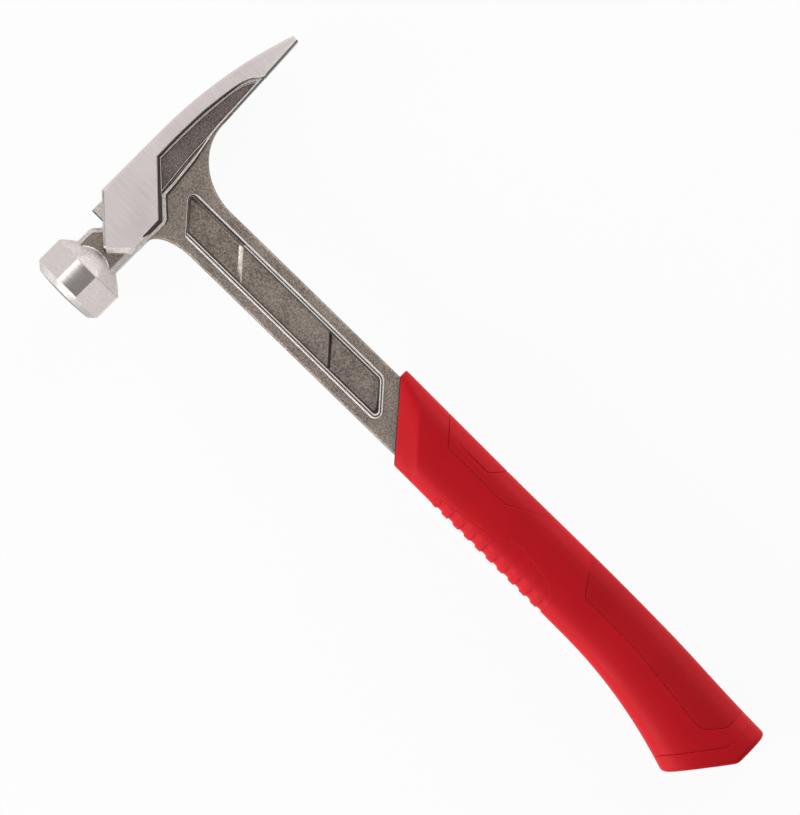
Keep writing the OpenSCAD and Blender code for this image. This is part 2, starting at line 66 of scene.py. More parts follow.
LOG = logging.getLogger("framing_hammer")
BODY = "root"
METRES_PER_MM = 0.001
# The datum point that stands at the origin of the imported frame
DATUM_SHIFT = np.array([169.9, 9.2, -18.4])
# The photograph's frame, in pixels
IMAGE_WIDTH = 800
IMAGE_HEIGHT = 815
# Number of the panel outline's edge along the back of the shank
PANEL_BACK = 23

Colour = tuple[float, float, float]
# Points of a closed outline, anticlockwise, one row each
Loop = np.ndarray
FinishAt = Callable[[int, int], "Finish"]


class Finish(Enum):
    """The finishes of the hammer's pieces, with the names of their materials."""

    GROUND = "ground_steel"
    BELL = "bell_steel"
    FACE = "struck_steel"
    RIM = "rim_steel"
    CONE = "turned_steel"
    # Near-white steel painted on crests, bevels and rims as highlights
    WORN = "painted_highlight_steel"
    # Forged steel painted lighter, as if lit, on caps and steps that face the light
    LIT_FORGED = "painted_lit_forged_steel"
    FORGED = "forged_steel"
    # Darker forged steel painted in pockets and at the foot of walls as shade
    POCKET = "pocket_painted_shade_steel"
    # Darkest forged steel, painted as shade on walls and grooves that face away from the light
    DEEP_SHADE = "painted_deep_shade_steel"
    MAGNET = "magnet_plating"
    RED = "red_rubber"
    INLAY = "inlay_rubber"
    # Dark plastic of the grip's core, also painted as the shadow line at the collar
    CORE = "core_plastic_and_painted_shadow"


class Edge(Enum):
    """The kinds of edge round the head's outlines, which differ in slope and finish."""

    CHIN = 0
    THROAT = 1
    HEEL = 2
    POCKET = 3
    UNDER = 4
    TIP = 5
    TOP = 6
    FRONT = 7
    BLUNT = 8
    INSIDE = 9


STEEL_FINISHES = [Finish.GROUND, Finish.BELL, Finish.FACE, Finish.RIM, Finish.CONE, Finish.WORN,
                  Finish.LIT_FORGED, Finish.FORGED, Finish.POCKET, Finish.DEEP_SHADE]


# Drawing helpers


def eased(t: np.ndarray | float) -> np.ndarray | float:
    """Smooth step from 0 to 1."""
    u = np.clip(t, 0.0, 1.0)
    return u * u * (3.0 - 2.0 * u)


@dataclass(frozen=True)
class Fade:
    """A share that runs smoothly from one value to another."""

    start: float
    run: float
    first: float
    last: float

    def at(self, place: np.ndarray | float) -> np.ndarray | float:
        """Share at a place along the run."""
        return self.first + (self.last - self.first) * eased((place - self.start) / self.run)


def signed_power(value: np.ndarray, power: float) -> np.ndarray:
    """Power of a size that keeps its sign."""
    return np.sign(value) * np.abs(value) ** power


def quarter_ellipse(foot: float, run: float, start_y: float, end_y: float, count: int) -> Loop:
    """Draws a fillet that leaves across x and ends along x.

    Args:
        foot: x where the fillet ends.
        run: Length of the fillet along x.
        start_y: y where the fillet starts.
        end_y: y where it ends.
        count: Number of points.

    Returns:
        The points, from start to foot.
    """
    turn = np.linspace(0.0, math.pi / 2, count)
    return np.stack([foot - run * np.cos(turn), start_y + (end_y - start_y) * np.sin(turn)], axis=1)


def through(points: Sequence[tuple[float, float]], steps: int) -> Loop:
    """Draws a smooth open curve through points.

    Args:
        points: The points that the curve passes.
        steps: Number of steps between two points.

    Returns:
        The points of the curve, both ends included.
    """
    p = np.array([points[0], *points, points[-1]], float)
    shares = np.linspace(0.0, 1.0, steps, endpoint=False)[:, None]
    runs = []
    for a, b, c, d in zip(p[:-3], p[1:-2], p[2:-1], p[3:]):
        cubic = (3 * b - a - 3 * c + d) * shares ** 3 + (2 * a - 5 * b + 4 * c - d) * shares ** 2
        runs.append((2 * b + (c - a) * shares + cubic) / 2)
    return np.concatenate([*runs, p[-1:]])


def inset(points: Loop, moves: np.ndarray | float) -> Loop:
    """Moves each edge of an anticlockwise loop inwards.

    Args:
        points: The loop.
        moves: One distance for all edges, or one for the edge that leaves each point.

    Returns:
        The moved loop.
    """
    amount = np.broadcast_to(np.asarray(moves, float), len(points))
    run = np.roll(points, -1, axis=0) - points
    after = np.stack([-run[:, 1], run[:, 0]], axis=1) / np.linalg.norm(run, axis=1)[:, None]
    before = np.roll(after, 1, axis=0)
    a, b = np.roll(amount, 1), amount
    turn = before[:, 0] * after[:, 1] - before[:, 1] * after[:, 0]
    straight = np.abs(turn) < np.where(np.abs(a - b) < 0.001, 0.01, 0.6)
    corner = np.stack([a * after[:, 1] - b * before[:, 1], b * before[:, 0] - a * after[:, 0]], axis=1)
    corner /= np.where(straight, 1.0, turn)[:, None]
    level = before * ((a + b) / 2)[:, None]
    return points + np.where(straight[:, None], level, corner)


def rounded(points: Loop, radii: Sequence[float], steps: int = 7) -> Loop:
    """Rounds each corner of a loop to its own radius.

    Args:
        points: The corners.
        radii: One radius for each corner.
        steps: Number of steps round each corner.

    Returns:
        The rounded loop.
    """
    shares = np.linspace(0.0, 1.0, steps + 1)[:, None]
    arcs = []
    for before, p, after, radius in zip(np.roll(points, 1, 0), points, np.roll(points, -1, 0), radii):
        u = (before - p) / np.linalg.norm(before - p)
        v = (after - p) / np.linalg.norm(after - p)
        half = math.acos(float(u @ v)) / 2
        centre = p + (u + v) / np.linalg.norm(u + v) * radius / math.sin(half)
        first = p + u * radius / math.tan(half) - centre
        last = p + v * radius / math.tan(half) - centre
        sweep = math.pi - 2 * half
        turned = np.sin(sweep * (1 - shares)) * first + np.sin(sweep * shares) * last
        arcs.append(centre + turned / math.sin(sweep))
    return np.concatenate(arcs)


def lifted(points: Loop, z: float) -> np.ndarray:
    """Lifts a flat loop to a height."""
    return np.column_stack([points, np.full(len(points), z)])


def mirrored(rings: list[np.ndarray]) -> list[np.ndarray]:
    """Adds the mirror image of rings below the plane that halves the hammer."""
    return [ring * (1, 1, -1) for ring in reversed(rings)] + rings


def from_low(rings: list[np.ndarray], side: int) -> list[np.ndarray]:
    """Puts the rings of the upper (1) or lower (-1) face in order from low to high."""
    return rings if side > 0 else rings[::-1]


def outside_by(points: np.ndarray, outline: Loop) -> np.ndarray:
    """Measures how far points lie outside an outline, in the side view.

    Args:
        points: The points; only x and y count.
        outline: The outline.

    Returns:
        One distance for each point, negative inside the outline.
    """
    flat = points[:, None, :2]
    start, run = outline[None], (np.roll(outline, -1, axis=0) - outline)[None]
    share = np.clip(((flat - start) * run).sum(2) / (run * run).sum(2), 0.0, 1.0)
    away = np.linalg.norm(flat - start - share[..., None] * run, axis=2).min(axis=1)
    end = start + run
    spans = (start[..., 1] > flat[..., 1]) != (end[..., 1] > flat[..., 1])
    rise = np.where(run[..., 1] == 0.0, 1.0, run[..., 1])
    crossing = start[..., 0] + (flat[..., 1] - start[..., 1]) / rise * run[..., 0]
    inside = (spans & (flat[..., 0] < crossing)).sum(axis=1) % 2 == 1
    return np.where(inside, -away, away)


def stood(points: np.ndarray) -> np.ndarray:
    """Takes points from the datum, in millimetres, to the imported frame, in metres."""
    return (points - DATUM_SHIFT) * METRES_PER_MM


def link_mesh(name: str, points: np.ndarray, faces: Sequence[Sequence[int]]) -> bpy.types.Object:
    """Makes an object from points on the datum.

    Args:
        name: Name of the object.
        points: The points, in millimetres.
        faces: The corners of each face.

    Returns:
        The object, in the scene.
    """
    mesh = bpy.data.meshes.new(name)
    mesh.from_pydata(stood(points).tolist(), [], faces)
    mesh.update()
    piece = bpy.data.objects.new(name, mesh)
    bpy.context.scene.collection.objects.link(piece)
    return piece


def plain(finish: Finish) -> FinishAt:
    """Gives one finish to all faces of a solid."""
    return lambda band, edge: finish


def skin(name: str, rings: Sequence[np.ndarray], finish_at: FinishAt,
         hoop: bool = False) -> bpy.types.Object:
    """Builds a closed steel solid through rings of points.

    Args:
        name: Name of the object.
        rings: Rings of as many points each, from low to high, or round a hoop's section.
        finish_at: Gives the finish between a ring and the next at an edge. The low cap asks with
            ring -1 and the high cap with the last ring.
        hoop: True where the last ring joins the first, with no caps.

    Returns:
        The object, with every steel finish in its slots.
    """
    count, sides = len(rings), len(rings[0])
    points = np.concatenate(rings)
    faces, finishes = [], []
    for k in range(count if hoop else count - 1):
        low, high = k * sides, (k + 1) % count * sides
        for i in range(sides):
            j = (i + 1) % sides
            faces.append((low + i, low + j, high + j, high + i))
            finishes.append(finish_at(k, i))
    if not hoop:
        faces.append(tuple(reversed(range(sides))))
        faces.append(tuple(range((count - 1) * sides, count * sides)))
        finishes += [finish_at(-1, 0), finish_at(count - 1, 0)]
    piece = link_mesh(name, points, faces)
    for finish in STEEL_FINISHES:
        piece.data.materials.append(MATERIALS[finish])
    slots = [STEEL_FINISHES.index(finish) for finish in finishes]
    piece.data.polygons.foreach_set("material_index", slots)
    shape = bmesh.new()
    shape.from_mesh(piece.data)
    bmesh.ops.recalc_face_normals(shape, faces=shape.faces)
    shape.to_mesh(piece.data)
    shape.free()
    return piece


def combine(piece: bpy.types.Object, tool: bpy.types.Object, operation: str) -> None:
    """Joins or cuts a piece with a tool, which is used up.

    Args:
        piece: The piece that stays.
        tool: The other solid.
        operation: UNION or DIFFERENCE.
    """
    modifier = piece.modifiers.new("combine", "BOOLEAN")
    modifier.solver = "EXACT"
    modifier.operation = operation
    modifier.object = tool
    shown = piece.evaluated_get(bpy.context.evaluated_depsgraph_get())
    result = bpy.data.meshes.new_from_object(shown)
    piece.modifiers.clear()
    piece.data = result
    bpy.data.objects.remove(tool)


def smooth(piece: bpy.types.Object, sharp_degrees: float) -> None:
    """Shades a piece smooth between its sharp edges.

    Args:
        piece: The piece.
        sharp_degrees: Angle from which an edge counts as sharp.
    """
    piece.data.shade_smooth()
    piece.data.set_sharp_from_angle(angle=math.radians(sharp_degrees))
    modifier = piece.modifiers.new("even_shading", "WEIGHTED_NORMAL")
    modifier.keep_sharp = True


def settle(piece: bpy.types.Object, slot: str, *nodes: str) -> None:
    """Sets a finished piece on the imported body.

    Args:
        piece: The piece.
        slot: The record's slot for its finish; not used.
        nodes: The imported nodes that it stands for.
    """
    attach(piece, BODY)
    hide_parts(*nodes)
    LOG.info("%s stands for %s", piece.name, ", ".join(nodes))


# Shader sheets and shared effects


def paint(red: int, green: int, blue: int) -> Colour:
    """Gives the scene colour for a colour as it looks on a screen, from 0 to 255."""
    return tuple(float(v) for v in (np.array([red, green, blue]) / 255.0) ** 2.2)


class Sheet:
    """A node tree with short calls to place and join nodes."""

    def __init__(self, tree: bpy.types.NodeTree) -> None:
        """Takes over a node tree, emptied."""
        self.tree = tree
        tree.nodes.clear()

    def place(self, kind: str, **values: object) -> bpy.types.Node:
        """Places a node.

        Args:
            kind: Blender's name for the node.
            values: Settings of the node, by name.

        Returns:
            The node.
        """
        node = self.tree.nodes.new(kind)
        for name, value in values.items():
            setattr(node, name, value)
        return node

    def feed(self, node: bpy.types.Node, name: str | int, source: object) -> None:
        """Joins a socket to an input, or sets the input to a value.

        Args:
            node: The node that takes the input.
            name: The input's name or place.
            source: A socket, or a plain value.
        """
        if isinstance(source, bpy.types.NodeSocket):
            self.tree.links.new(source, node.inputs[name])
        else:
            node.inputs[name].default_value = source

    def noise(self, where: bpy.types.NodeSocket, scale: object, detail: float) -> bpy.types.NodeSocket:
        """Places a noise texture.

        Args:
            where: The coordinates.
            scale: The scale, a number or a socket.
            detail: How many finer layers it has.

        Returns:
            The noise, from 0 to 1.
        """
        node = self.place("ShaderNodeTexNoise")
        self.feed(node, "Vector", where)
        self.feed(node, "Scale", scale)
        self.feed(node, "Detail", detail)
        return node.outputs["Fac"]

    def spread(self, value: bpy.types.NodeSocket, low: float, high: float, to_low: object,
               to_high: object) -> bpy.types.NodeSocket:
        """Maps a range of values to another, held at both ends.

        Args:
            value: The value.
            low: Start of its range.
            high: End of its range.
            to_low: Start of the new range, a number or a socket.
            to_high: End of the new range, a number or a socket.

        Returns:
            The mapped value.
        """
        node = self.place("ShaderNodeMapRange")
        for name, source in (("Value", value), ("From Min", low), ("From Max", high),
                             ("To Min", to_low), ("To Max", to_high)):
            self.feed(node, name, source)
        return node.outputs["Result"]

    def blend(self, share: bpy.types.NodeSocket, low: object, high: object) -> bpy.types.NodeSocket:
        """Mixes two colours.

        Args:
            share: The share of the second colour.
            low: The first colour, a value or a socket.
            high: The second colour, a value or a socket.

        Returns:
            The mixed colour.
        """
        # The node has sockets for every kind of value, and these are the places of those for colours
        factor, first, second, result = 0, 6, 7, 2
        node = self.place("ShaderNodeMix", data_type="RGBA")
        self.feed(node, factor, share)
        for place, source in ((first, low), (second, high)):
            self.feed(node, place, (*source, 1.0) if isinstance(source, tuple) else source)
        return node.outputs[result]

    def bump(self, height: bpy.types.NodeSocket, strength: float, distance: float) -> bpy.types.NodeSocket:
        """Turns a height into a normal.

        Args:
            height: The height, from 0 to 1.
            strength: How much of it shows.
            distance: The height of 1, in metres.

        Returns:
            The normal.
        """
        node = self.place("ShaderNodeBump")
        self.feed(node, "Height", height)
        self.feed(node, "Strength", strength)
        self.feed(node, "Distance", distance)
        return node.outputs["Normal"]


class Effect:
    """A shared effect: a node group with named inputs and outputs, built once."""

    def __init__(self, name: str, inputs: Sequence[tuple[str, str]], outputs: Sequence[str]) -> None:
        """Makes the empty group.

        Args:
            name: Name of the group.
            inputs: Name and kind of each input.
            outputs: Name of each output, all plain values.
        """
        self.tree = bpy.data.node_groups.new(name, "ShaderNodeTree")
        for label, kind in inputs:
            self.tree.interface.new_socket(name=label, in_out="INPUT", socket_type=f"NodeSocket{kind}")
        for label in outputs:
            self.tree.interface.new_socket(name=label, in_out="OUTPUT", socket_type="NodeSocketFloat")
        self.sheet = Sheet(self.tree)
        self.enter = self.sheet.place("NodeGroupInput").outputs
        self.leave = self.sheet.place("NodeGroupOutput")
        self.where = self.sheet.place("ShaderNodeTexCoord").outputs["Object"]

    def put_out(self, name: str, value: bpy.types.NodeSocket) -> None:
        """Joins a value to an output of the group."""
        self.sheet.feed(self.leave, name, value)

    def use(self, sheet: Sheet, **values: object) -> bpy.types.NodeOutputs:
        """Places the effect in a material.

        Args:
            sheet: The material's sheet.
            values: The group's inputs, by name.

        Returns:
            The outputs of the placed group.
        """
        node = sheet.place("ShaderNodeGroup", node_tree=self.tree)
        for name, value in values.items():
            sheet.feed(node, name, value)
        return node.outputs


# The range that most of a noise lies in, and the scales of slow changes over a piece
USUAL_NOISE = (0.3, 0.7)
CLOUD_SCALE = 70.0
TONE_SCALE = 28.0


def forge_scale_effect() -> Effect:
    """Makes the grain of steel as it leaves the die and the shot blast.

    Returns:
        The effect, with a fine speckle, slow clouds and the height of its pits.
    """
    effect = Effect("forge_scale", [("Grain", "Float")], ["Speckle", "Cloud", "Pits"])
    sheet = effect.sheet
    fine = sheet.noise(effect.where, effect.enter["Grain"], 4.0)
    effect.put_out("Speckle", sheet.spread(fine, 0.32, 0.68, 0.0, 1.0))
    effect.put_out("Cloud", sheet.noise(effect.where, CLOUD_SCALE, 3.0))
    effect.put_out("Pits", fine)
    return effect


def brush_effect() -> Effect:
    """Makes the fine parallel marks of a grinding belt.

    Returns:
        The effect, with fine streaks and broader bands along them.
    """
    effect = Effect("brush_marks", [("Stretch", "Vector")], ["Streak", "Band"])
    sheet = effect.sheet
    for name, share, detail in (("Streak", 1.0, 3.0), ("Band", 0.16, 2.0)):
        lay = sheet.place("ShaderNodeVectorMath", operation="MULTIPLY")
        sheet.feed(lay, 0, effect.where)
        sheet.feed(lay, 1, effect.enter["Stretch"])
        streak = sheet.noise(lay.outputs["Vector"], share, detail)
        effect.put_out(name, sheet.spread(streak, 0.25, 0.75, 0.0, 1.0))
    return effect


def handling_effect() -> Effect:
    """Makes the broad uneven sheen that hands and packing leave.

    Returns:
        The effect, with one mask.
    """
    effect = Effect("handling_marks", [("Scale", "Float")], ["Smudge"])
    smudge = effect.sheet.noise(effect.where, effect.enter["Scale"], 3.0)
    effect.put_out("Smudge", effect.sheet.spread(smudge, *USUAL_NOISE, 0.0, 1.0))
    return effect


def mould_effect() -> Effect:
    """Makes the fine spark-eroded grain and slow tone of moulded parts.

    Returns:
        The effect, with the height of the grain and a slow change of tone.
    """
    effect = Effect("mould_grain", [("Grain", "Float")], ["Texture", "Tone"])
    sheet = effect.sheet
    effect.put_out("Texture", sheet.noise(effect.where, effect.enter["Grain"], 2.0))
    tone = sheet.noise(effect.where, TONE_SCALE, 2.0)
    effect.put_out("Tone", sheet.spread(tone, *USUAL_NOISE, 0.0, 1.0))
    return effect


@dataclass(frozen=True)
class Effects:
    """The effects that the finishes share."""

    forge_scale: Effect
    brush: Effect
    handling: Effect
    mould: Effect


@dataclass(frozen=True)
class Recipe:
    """What every finish has: two tones, a range of roughness and the height of its texture."""

    light: Colour
    dark: Colour
    roughness: tuple[float, float]
    relief: float

    def start(self, finish: Finish) -> tuple[bpy.types.Material, Sheet, bpy.types.Node]:
        """Makes an empty material with its shader.

        Args:
            finish: The finish, which names the material.

        Returns:
            The material, its sheet and its Principled shader.
        """
        material = bpy.data.materials.new(finish.value)
        material.use_nodes = True
        sheet = Sheet(material.node_tree)
        shader = sheet.place("ShaderNodeBsdfPrincipled")
        sheet.feed(sheet.place("ShaderNodeOutputMaterial"), "Surface", shader.outputs["BSDF"])
        return material, sheet, shader

    def dress(self, sheet: Sheet, shader: bpy.types.Node, tone: bpy.types.NodeSocket,
              smudge: bpy.types.NodeSocket, normal: bpy.types.NodeSocket) -> None:
        """Feeds the shader what changes over the surface.

        Args:
            sheet: The material's sheet.
            shader: The material's shader.
            tone: Share of the light tone.
            smudge: Place in the range of roughness, from 0 to 1.
            normal: The normal.
        """
        sheet.feed(shader, "Base Color", sheet.blend(tone, self.dark, self.light))
        sheet.feed(shader, "Roughness", sheet.spread(smudge, 0.0, 1.0, *self.roughness))
        sheet.feed(shader, "Normal", normal)


@dataclass(frozen=True)
class BrushedSteel(Recipe):
    """Bright steel with belt marks."""

    stretch: tuple[float, float, float] = (60.0, 2400.0, 2400.0)
    metallic: float = 1.0
    smudge_scale: float = 55.0
    band_least: float = 0.6
    bump_share: float = 0.6

    def build(self, finish: Finish, effects: Effects) -> bpy.types.Material:
        """Makes the material.

        Args:
            finish: The finish, which names the material.
            effects: The shared effects.

        Returns:
            The material.
        """
        material, sheet, shader = self.start(finish)
        marks = effects.brush.use(sheet, Stretch=self.stretch)
        smudge = effects.handling.use(sheet, Scale=self.smudge_scale)["Smudge"]
        tone = sheet.place("ShaderNodeMath", operation="MULTIPLY")
        sheet.feed(tone, 0, marks["Streak"])
        sheet.feed(tone, 1, sheet.spread(marks["Band"], 0.0, 1.0, self.band_least, 1.0))
        sheet.feed(shader, "Metallic", self.metallic)
        normal = sheet.bump(marks["Streak"], self.bump_share, self.relief)
        self.dress(sheet, shader, tone.outputs[0], smudge, normal)
        return material


@dataclass(frozen=True)
class ForgedSteel(Recipe):
    """Speckled steel as it leaves the forge."""

    grain: float = 1250.0
    metallic: float = 0.75
    smudge_scale: float = 40.0
    speckle_share: float = 0.75
    bump_share: float = 0.8

    def build(self, finish: Finish, effects: Effects) -> bpy.types.Material:
        """Makes the material.

        Args:
            finish: The finish, which names the material.
            effects: The shared effects.

        Returns:
            The material.
        """
        material, sheet, shader = self.start(finish)
        scale = effects.forge_scale.use(sheet, Grain=self.grain)
        smudge = effects.handling.use(sheet, Scale=self.smudge_scale)["Smudge"]
        tone = sheet.place("ShaderNodeMath", operation="MULTIPLY_ADD")
        sheet.feed(tone, 0, scale["Speckle"])
        sheet.feed(tone, 1, self.speckle_share)
        sheet.feed(tone, 2, sheet.spread(scale["Cloud"], *USUAL_NOISE, 0.0, 1.0 - self.speckle_share))
        sheet.feed(shader, "Metallic", self.metallic)
        normal = sheet.bump(scale["Pits"], self.bump_share, self.relief)
        self.dress(sheet, shader, tone.outputs[0], smudge, normal)
        return material


@dataclass(frozen=True)
class Moulded(Recipe):
    """Rubber or plastic with a fine moulded grain."""

    grain: float = 2600.0
    gloss: float = 0.13
    smudge_scale: float = 45.0
    bump_share: float = 0.5

    def build(self, finish: Finish, effects: Effects) -> bpy.types.Material:
        """Makes the material.

        Args:
            finish: The finish, which names the material.
            effects: The shared effects.

        Returns:
            The material.
        """
        material, sheet, shader = self.start(finish)
        mould = effects.mould.use(sheet, Grain=self.grain)
        smudge = effects.handling.use(sheet, Scale=self.smudge_scale)["Smudge"]
        sheet.feed(shader, "Specular IOR Level", self.gloss)
        normal = sheet.bump(mould["Texture"], self.bump_share, self.relief)
        self.dress(sheet, shader, mould["Tone"], smudge, normal)
        return material


RECIPES: dict[Finish, BrushedSteel | ForgedSteel | Moulded] = {
    Finish.GROUND: BrushedSteel(paint(218, 209, 208), paint(196, 187, 186), (0.32, 0.40), 0.00001),
    Finish.BELL: BrushedSteel(paint(222, 214, 212), paint(197, 188, 186), (0.12, 0.17), 0.000005),
    Finish.FACE: BrushedSteel(paint(158, 151, 148), paint(126, 119, 116), (0.52, 0.62), 0.00004,
                              stretch=(900.0, 900.0, 900.0)),
    Finish.RIM: ForgedSteel(paint(204, 198, 194), paint(172, 166, 162), (0.44, 0.54), 0.00006),
    Finish.CONE: BrushedSteel(paint(240, 232, 229), paint(196, 188, 185), (0.46, 0.58), 0.00008,
                              stretch=(900.0, 500.0, 900.0), metallic=0.4),
    # Painted highlight: a near-white steel for the bright lines on crests, bevels and rims
    Finish.WORN: BrushedSteel(paint(240, 233, 228), paint(212, 204, 199), (0.34, 0.42), 0.00003,
                              stretch=(300.0, 900.0, 900.0), metallic=0.7),
    # Painted light: a lighter copy of the forged steel for caps and steps that face the light
    Finish.LIT_FORGED: ForgedSteel(paint(222, 215, 208), paint(164, 156, 149), (0.40, 0.50), 0.00010),
    Finish.FORGED: ForgedSteel(paint(166, 154, 145), paint(86, 76, 69), (0.46, 0.58), 0.00016),
    # Painted shade: a darker copy of the forged steel for pockets and the foot of walls
    Finish.POCKET: ForgedSteel(paint(146, 134, 128), paint(70, 61, 57), (0.52, 0.64), 0.00016),
    # Painted shade: a dark copy of the forged steel for walls and grooves that face away from the light
    Finish.DEEP_SHADE: ForgedSteel(paint(80, 72, 67), paint(32, 27, 24), (0.60, 0.70), 0.00010, metallic=0.25),
    Finish.MAGNET: BrushedSteel(paint(186, 186, 188), paint(150, 150, 154), (0.18, 0.26), 0.00001,
                                stretch=(700.0, 700.0, 90.0)),
    Finish.RED: Moulded(paint(210, 29, 39), paint(202, 27, 37), (0.52, 0.60), 0.00004),
    Finish.INLAY: Moulded(paint(199, 29, 37), paint(191, 27, 35), (0.56, 0.64), 0.00005, grain=2000.0),
    # Dark core plastic; on the collar's first band it is a painted shadow line
    Finish.CORE: Moulded(paint(46, 46, 48), paint(32, 32, 34), (0.50, 0.60), 0.00006),
}


def mix_finishes() -> dict[Finish, bpy.types.Material]:
    """Builds the shared effects, then every finish.

    Returns:
        The material of each finish.
    """
    effects = Effects(forge_scale_effect(), brush_effect(), handling_effect(), mould_effect())
    return {finish: recipe.build(finish, effects) for finish, recipe in RECIPES.items()}


MATERIALS: dict[Finish, bpy.types.Material] = mix_finishes()


# Forging


@dataclass(frozen=True)
class Chain:
    """A run of an outline whose edges are of one kind; its last edge meets the next run."""

    kind: Edge
    points: Loop


def joined(chains: Sequence[Chain]) -> tuple[Loop, list[Edge]]:
    """Joins chains to a closed loop.

    Args:
        chains: The chains, in order.

    Returns:
        The loop, and the kind of the edge that leaves each of its points.
    """
    loop = np.concatenate([np.asarray(chain.points, float) for chain in chains])
    kinds = [chain.kind for chain in chains for _ in chain.points]
    return loop, kinds


def quarter_round(radius: float, steps: int) -> list[tuple[float, float]]:
    """Draws a rounded edge.

    Args:
        radius: Radius of the rounding.
        steps: Number of steps.

    Returns:
        How far each ring moves inwards, and how far it lies below the top, from the wall up.
    """
    turns = np.linspace(0.0, math.pi / 2, steps + 1)
    return [(radius * (1 - math.cos(t)), radius * (1 - math.sin(t))) for t in turns]


@dataclass
class Forging:
    """Bell, neck, cheek plates, claw, shank and tang in one piece of steel."""

    face_reach: float = 68.0
    claw_reach: float = 86.4
    head_rise: float = 20.2
    cheek_half: float = 12.5
    ledge_half: float = 8.2
    neck_half: float = 8.1
    shank_half: float = 6.25
    claw_bend: float = 15.0
    tip_rise: float = 8.5
    tip_t: float = 3.0
    claw_rise: float = 3.2
    claw_root: float = 37.0
    pocket_end: float = 63.0
    shank_w: float = 26.8
    shank_set: float = 2.4
    shank_lean: float = 0.8
    shank_end: float = 161.5
    neck_rise: float = 11.9
    neck_drop: float = 9.8
    nail_wall: float = 31.9
    seat_rise: float = 8.8
    shoulder_rise: float = 17.0
    heel_point: float = 6.5
    foot_fade: Fade = Fade(46.0, 14.0, 1.0, 0.08)
    slot_len: float = 42.0
    slot_root_r: float = 1.6
    slot_mouth: float = 11.2
    groove_w: float = 5.2
    groove_bite: float = 0.7
    magnet_d: float = 4.7
    magnet_t: float = 3.05
    magnet_reach: float = 40.5
    panel_start: float = 20.4
    panel_len: float = 122.0
    panel_w: float = 17.0
    panel_slant: float = 41.0
    panel_floor: float = 3.55
    middle_top: float = 4.55
    middle_start: float = 46.9
    middle_end: float = 101.4
    # Radius of each panel corner at the outer edge, and its least radius further in
    panel_rounds: tuple[tuple[float, float], ...] = ((1.2, 0.3), (3.2, 1.6), (5.0, 2.6), (2.9, 1.2))
    bead_turn: float = 42.0
    rim_bead_r: float = 0.5
    shank_round: float = 1.3
    tang_half: float = 3.75
    tang_w: float = 18.0
    tang_end: float = 338.0
    window_len: float = 28.0
    window_w: float = 8.0
    window_r: float = 3.9
    window_shares: tuple[float, ...] = (0.24, 0.51, 0.78)
    overrun: float = 3.0
    sharp_degrees: float = 27.0

    def claw_top(self, y: np.ndarray | float) -> np.ndarray | float:
        """Finds the claw's top edge, an arc that starts at the bend.

        Args:
            y: Where along the claw.

        Returns:
            x of the edge.
        """
        run, drop = self.claw_reach - self.claw_bend, self.head_rise - self.tip_rise
        radius = (run * run + drop * drop) / (2 * drop)
        past = np.maximum(0.0, np.asarray(y, float) - self.claw_bend)
        return radius - self.head_rise - np.sqrt(radius * radius - past * past)

    def claw_under(self, y: np.ndarray | float) -> np.ndarray | float:
        """x of the claw's underside."""
        share = np.clip((y - self.claw_root) / (self.claw_reach - self.claw_root), 0.0, 1.0)
        return -(self.claw_rise + (self.tip_rise - self.tip_t - self.claw_rise) * share)

    def shank_edge(self, x: np.ndarray | float, side: int) -> np.ndarray | float:
        """y of the shank's front (-1) or back (1) edge."""
        lean = math.radians(self.shank_lean)
        return x * math.tan(lean) - self.shank_set + side * self.shank_w / 2 / math.cos(lean)

    def on_shank(self, points: Loop) -> Loop:
        """Turns points from the shank's own axes to the datum.

        Args:
            points: The points, x along the shank's middle line.

        Returns:
            The points on the datum.
        """
        lean = math.radians(self.shank_lean)
        x, y = points[:, 0], points[:, 1]
        across = x * math.sin(lean) + y * math.cos(lean) - self.shank_set
        return np.stack([x * math.cos(lean) - y * math.sin(lean), across], axis=1)

    def bell(self) -> bpy.types.Object:
        """Builds the eight-sided bell: crowned face, rim, slightly crowned flats and back cone.

        Returns:
            The solid.
        """
        corner, flat, crowns = 18.1, 6.3, (0.3, 0.36)
        face_r, face_crown, start, back, back_run = 15.0, 0.9, 4.0, 17.0, 0.87
        edge_in, edge_back, cone_r = 0.55, 0.45, 12.0
        corners = np.array([(corner, flat), (flat, corner), (-flat, corner), (-corner, flat),
                            (-corner, -flat), (-flat, -corner), (flat, -corner), (corner, -flat)])
        section = []
        # Points close beside the corners keep these crisp
        shares = np.array([0.02, 0.045, 0.12, 0.3, 0.5, 0.7, 0.88, 0.955, 0.98])[:, None]
        for i, (p, q) in enumerate(zip(corners, np.roll(corners, -1, 0))):
            out = (p + q) / np.linalg.norm(p + q)
            section.append(p + (q - p) * shares + out * crowns[(i + 1) % 2] * 4 * shares * (1 - shares))
        spokes = np.concatenate(section)
        radius = np.linalg.norm(spokes, axis=1)[:, None]
        spokes = spokes / radius
        rows = [(face_r * k / 5, face_crown * (k / 5) ** 2) for k in (0.4, 1, 2, 3, 4, 4.8)]
        rim = (radius - face_r) / (start - face_crown)
        rows += [(face_r + 0.25, face_crown + 0.14), (radius - 0.6 * rim, start - 0.6),
                 (radius - 0.12 * rim, start - 0.05), (radius, start + 0.5), (radius, back - edge_back),
                 (radius - 0.12, back + 0.04), (radius - edge_in, back + edge_back)]
        for share in (0.3, 0.6):
            r = radius - edge_in + (cone_r - radius + edge_in) * share
            rows.append((r, back + edge_back + (corner - cone_r) * back_run * share))
        for r in (cone_r, 9.0, 6.0):
            rows.append((r, back + (corner - r) * back_run))
        full = np.ones_like(radius)
        rings = [np.column_stack([r * full * spokes[:, :1], t * full - self.face_reach,
                                  r * full * spokes[:, 1:]]) for r, t in rows]
        last_bands = [(5, Finish.FACE), (6, Finish.RIM), (7, Finish.GROUND), (9, Finish.BELL),
                      (len(rings), Finish.CONE)]

        def finish_at(band: int, edge: int) -> Finish:
            """Finish of a band, the same all round."""
            return next(finish for last, finish in last_bands if band <= last)

        return skin("bell", rings, finish_at)

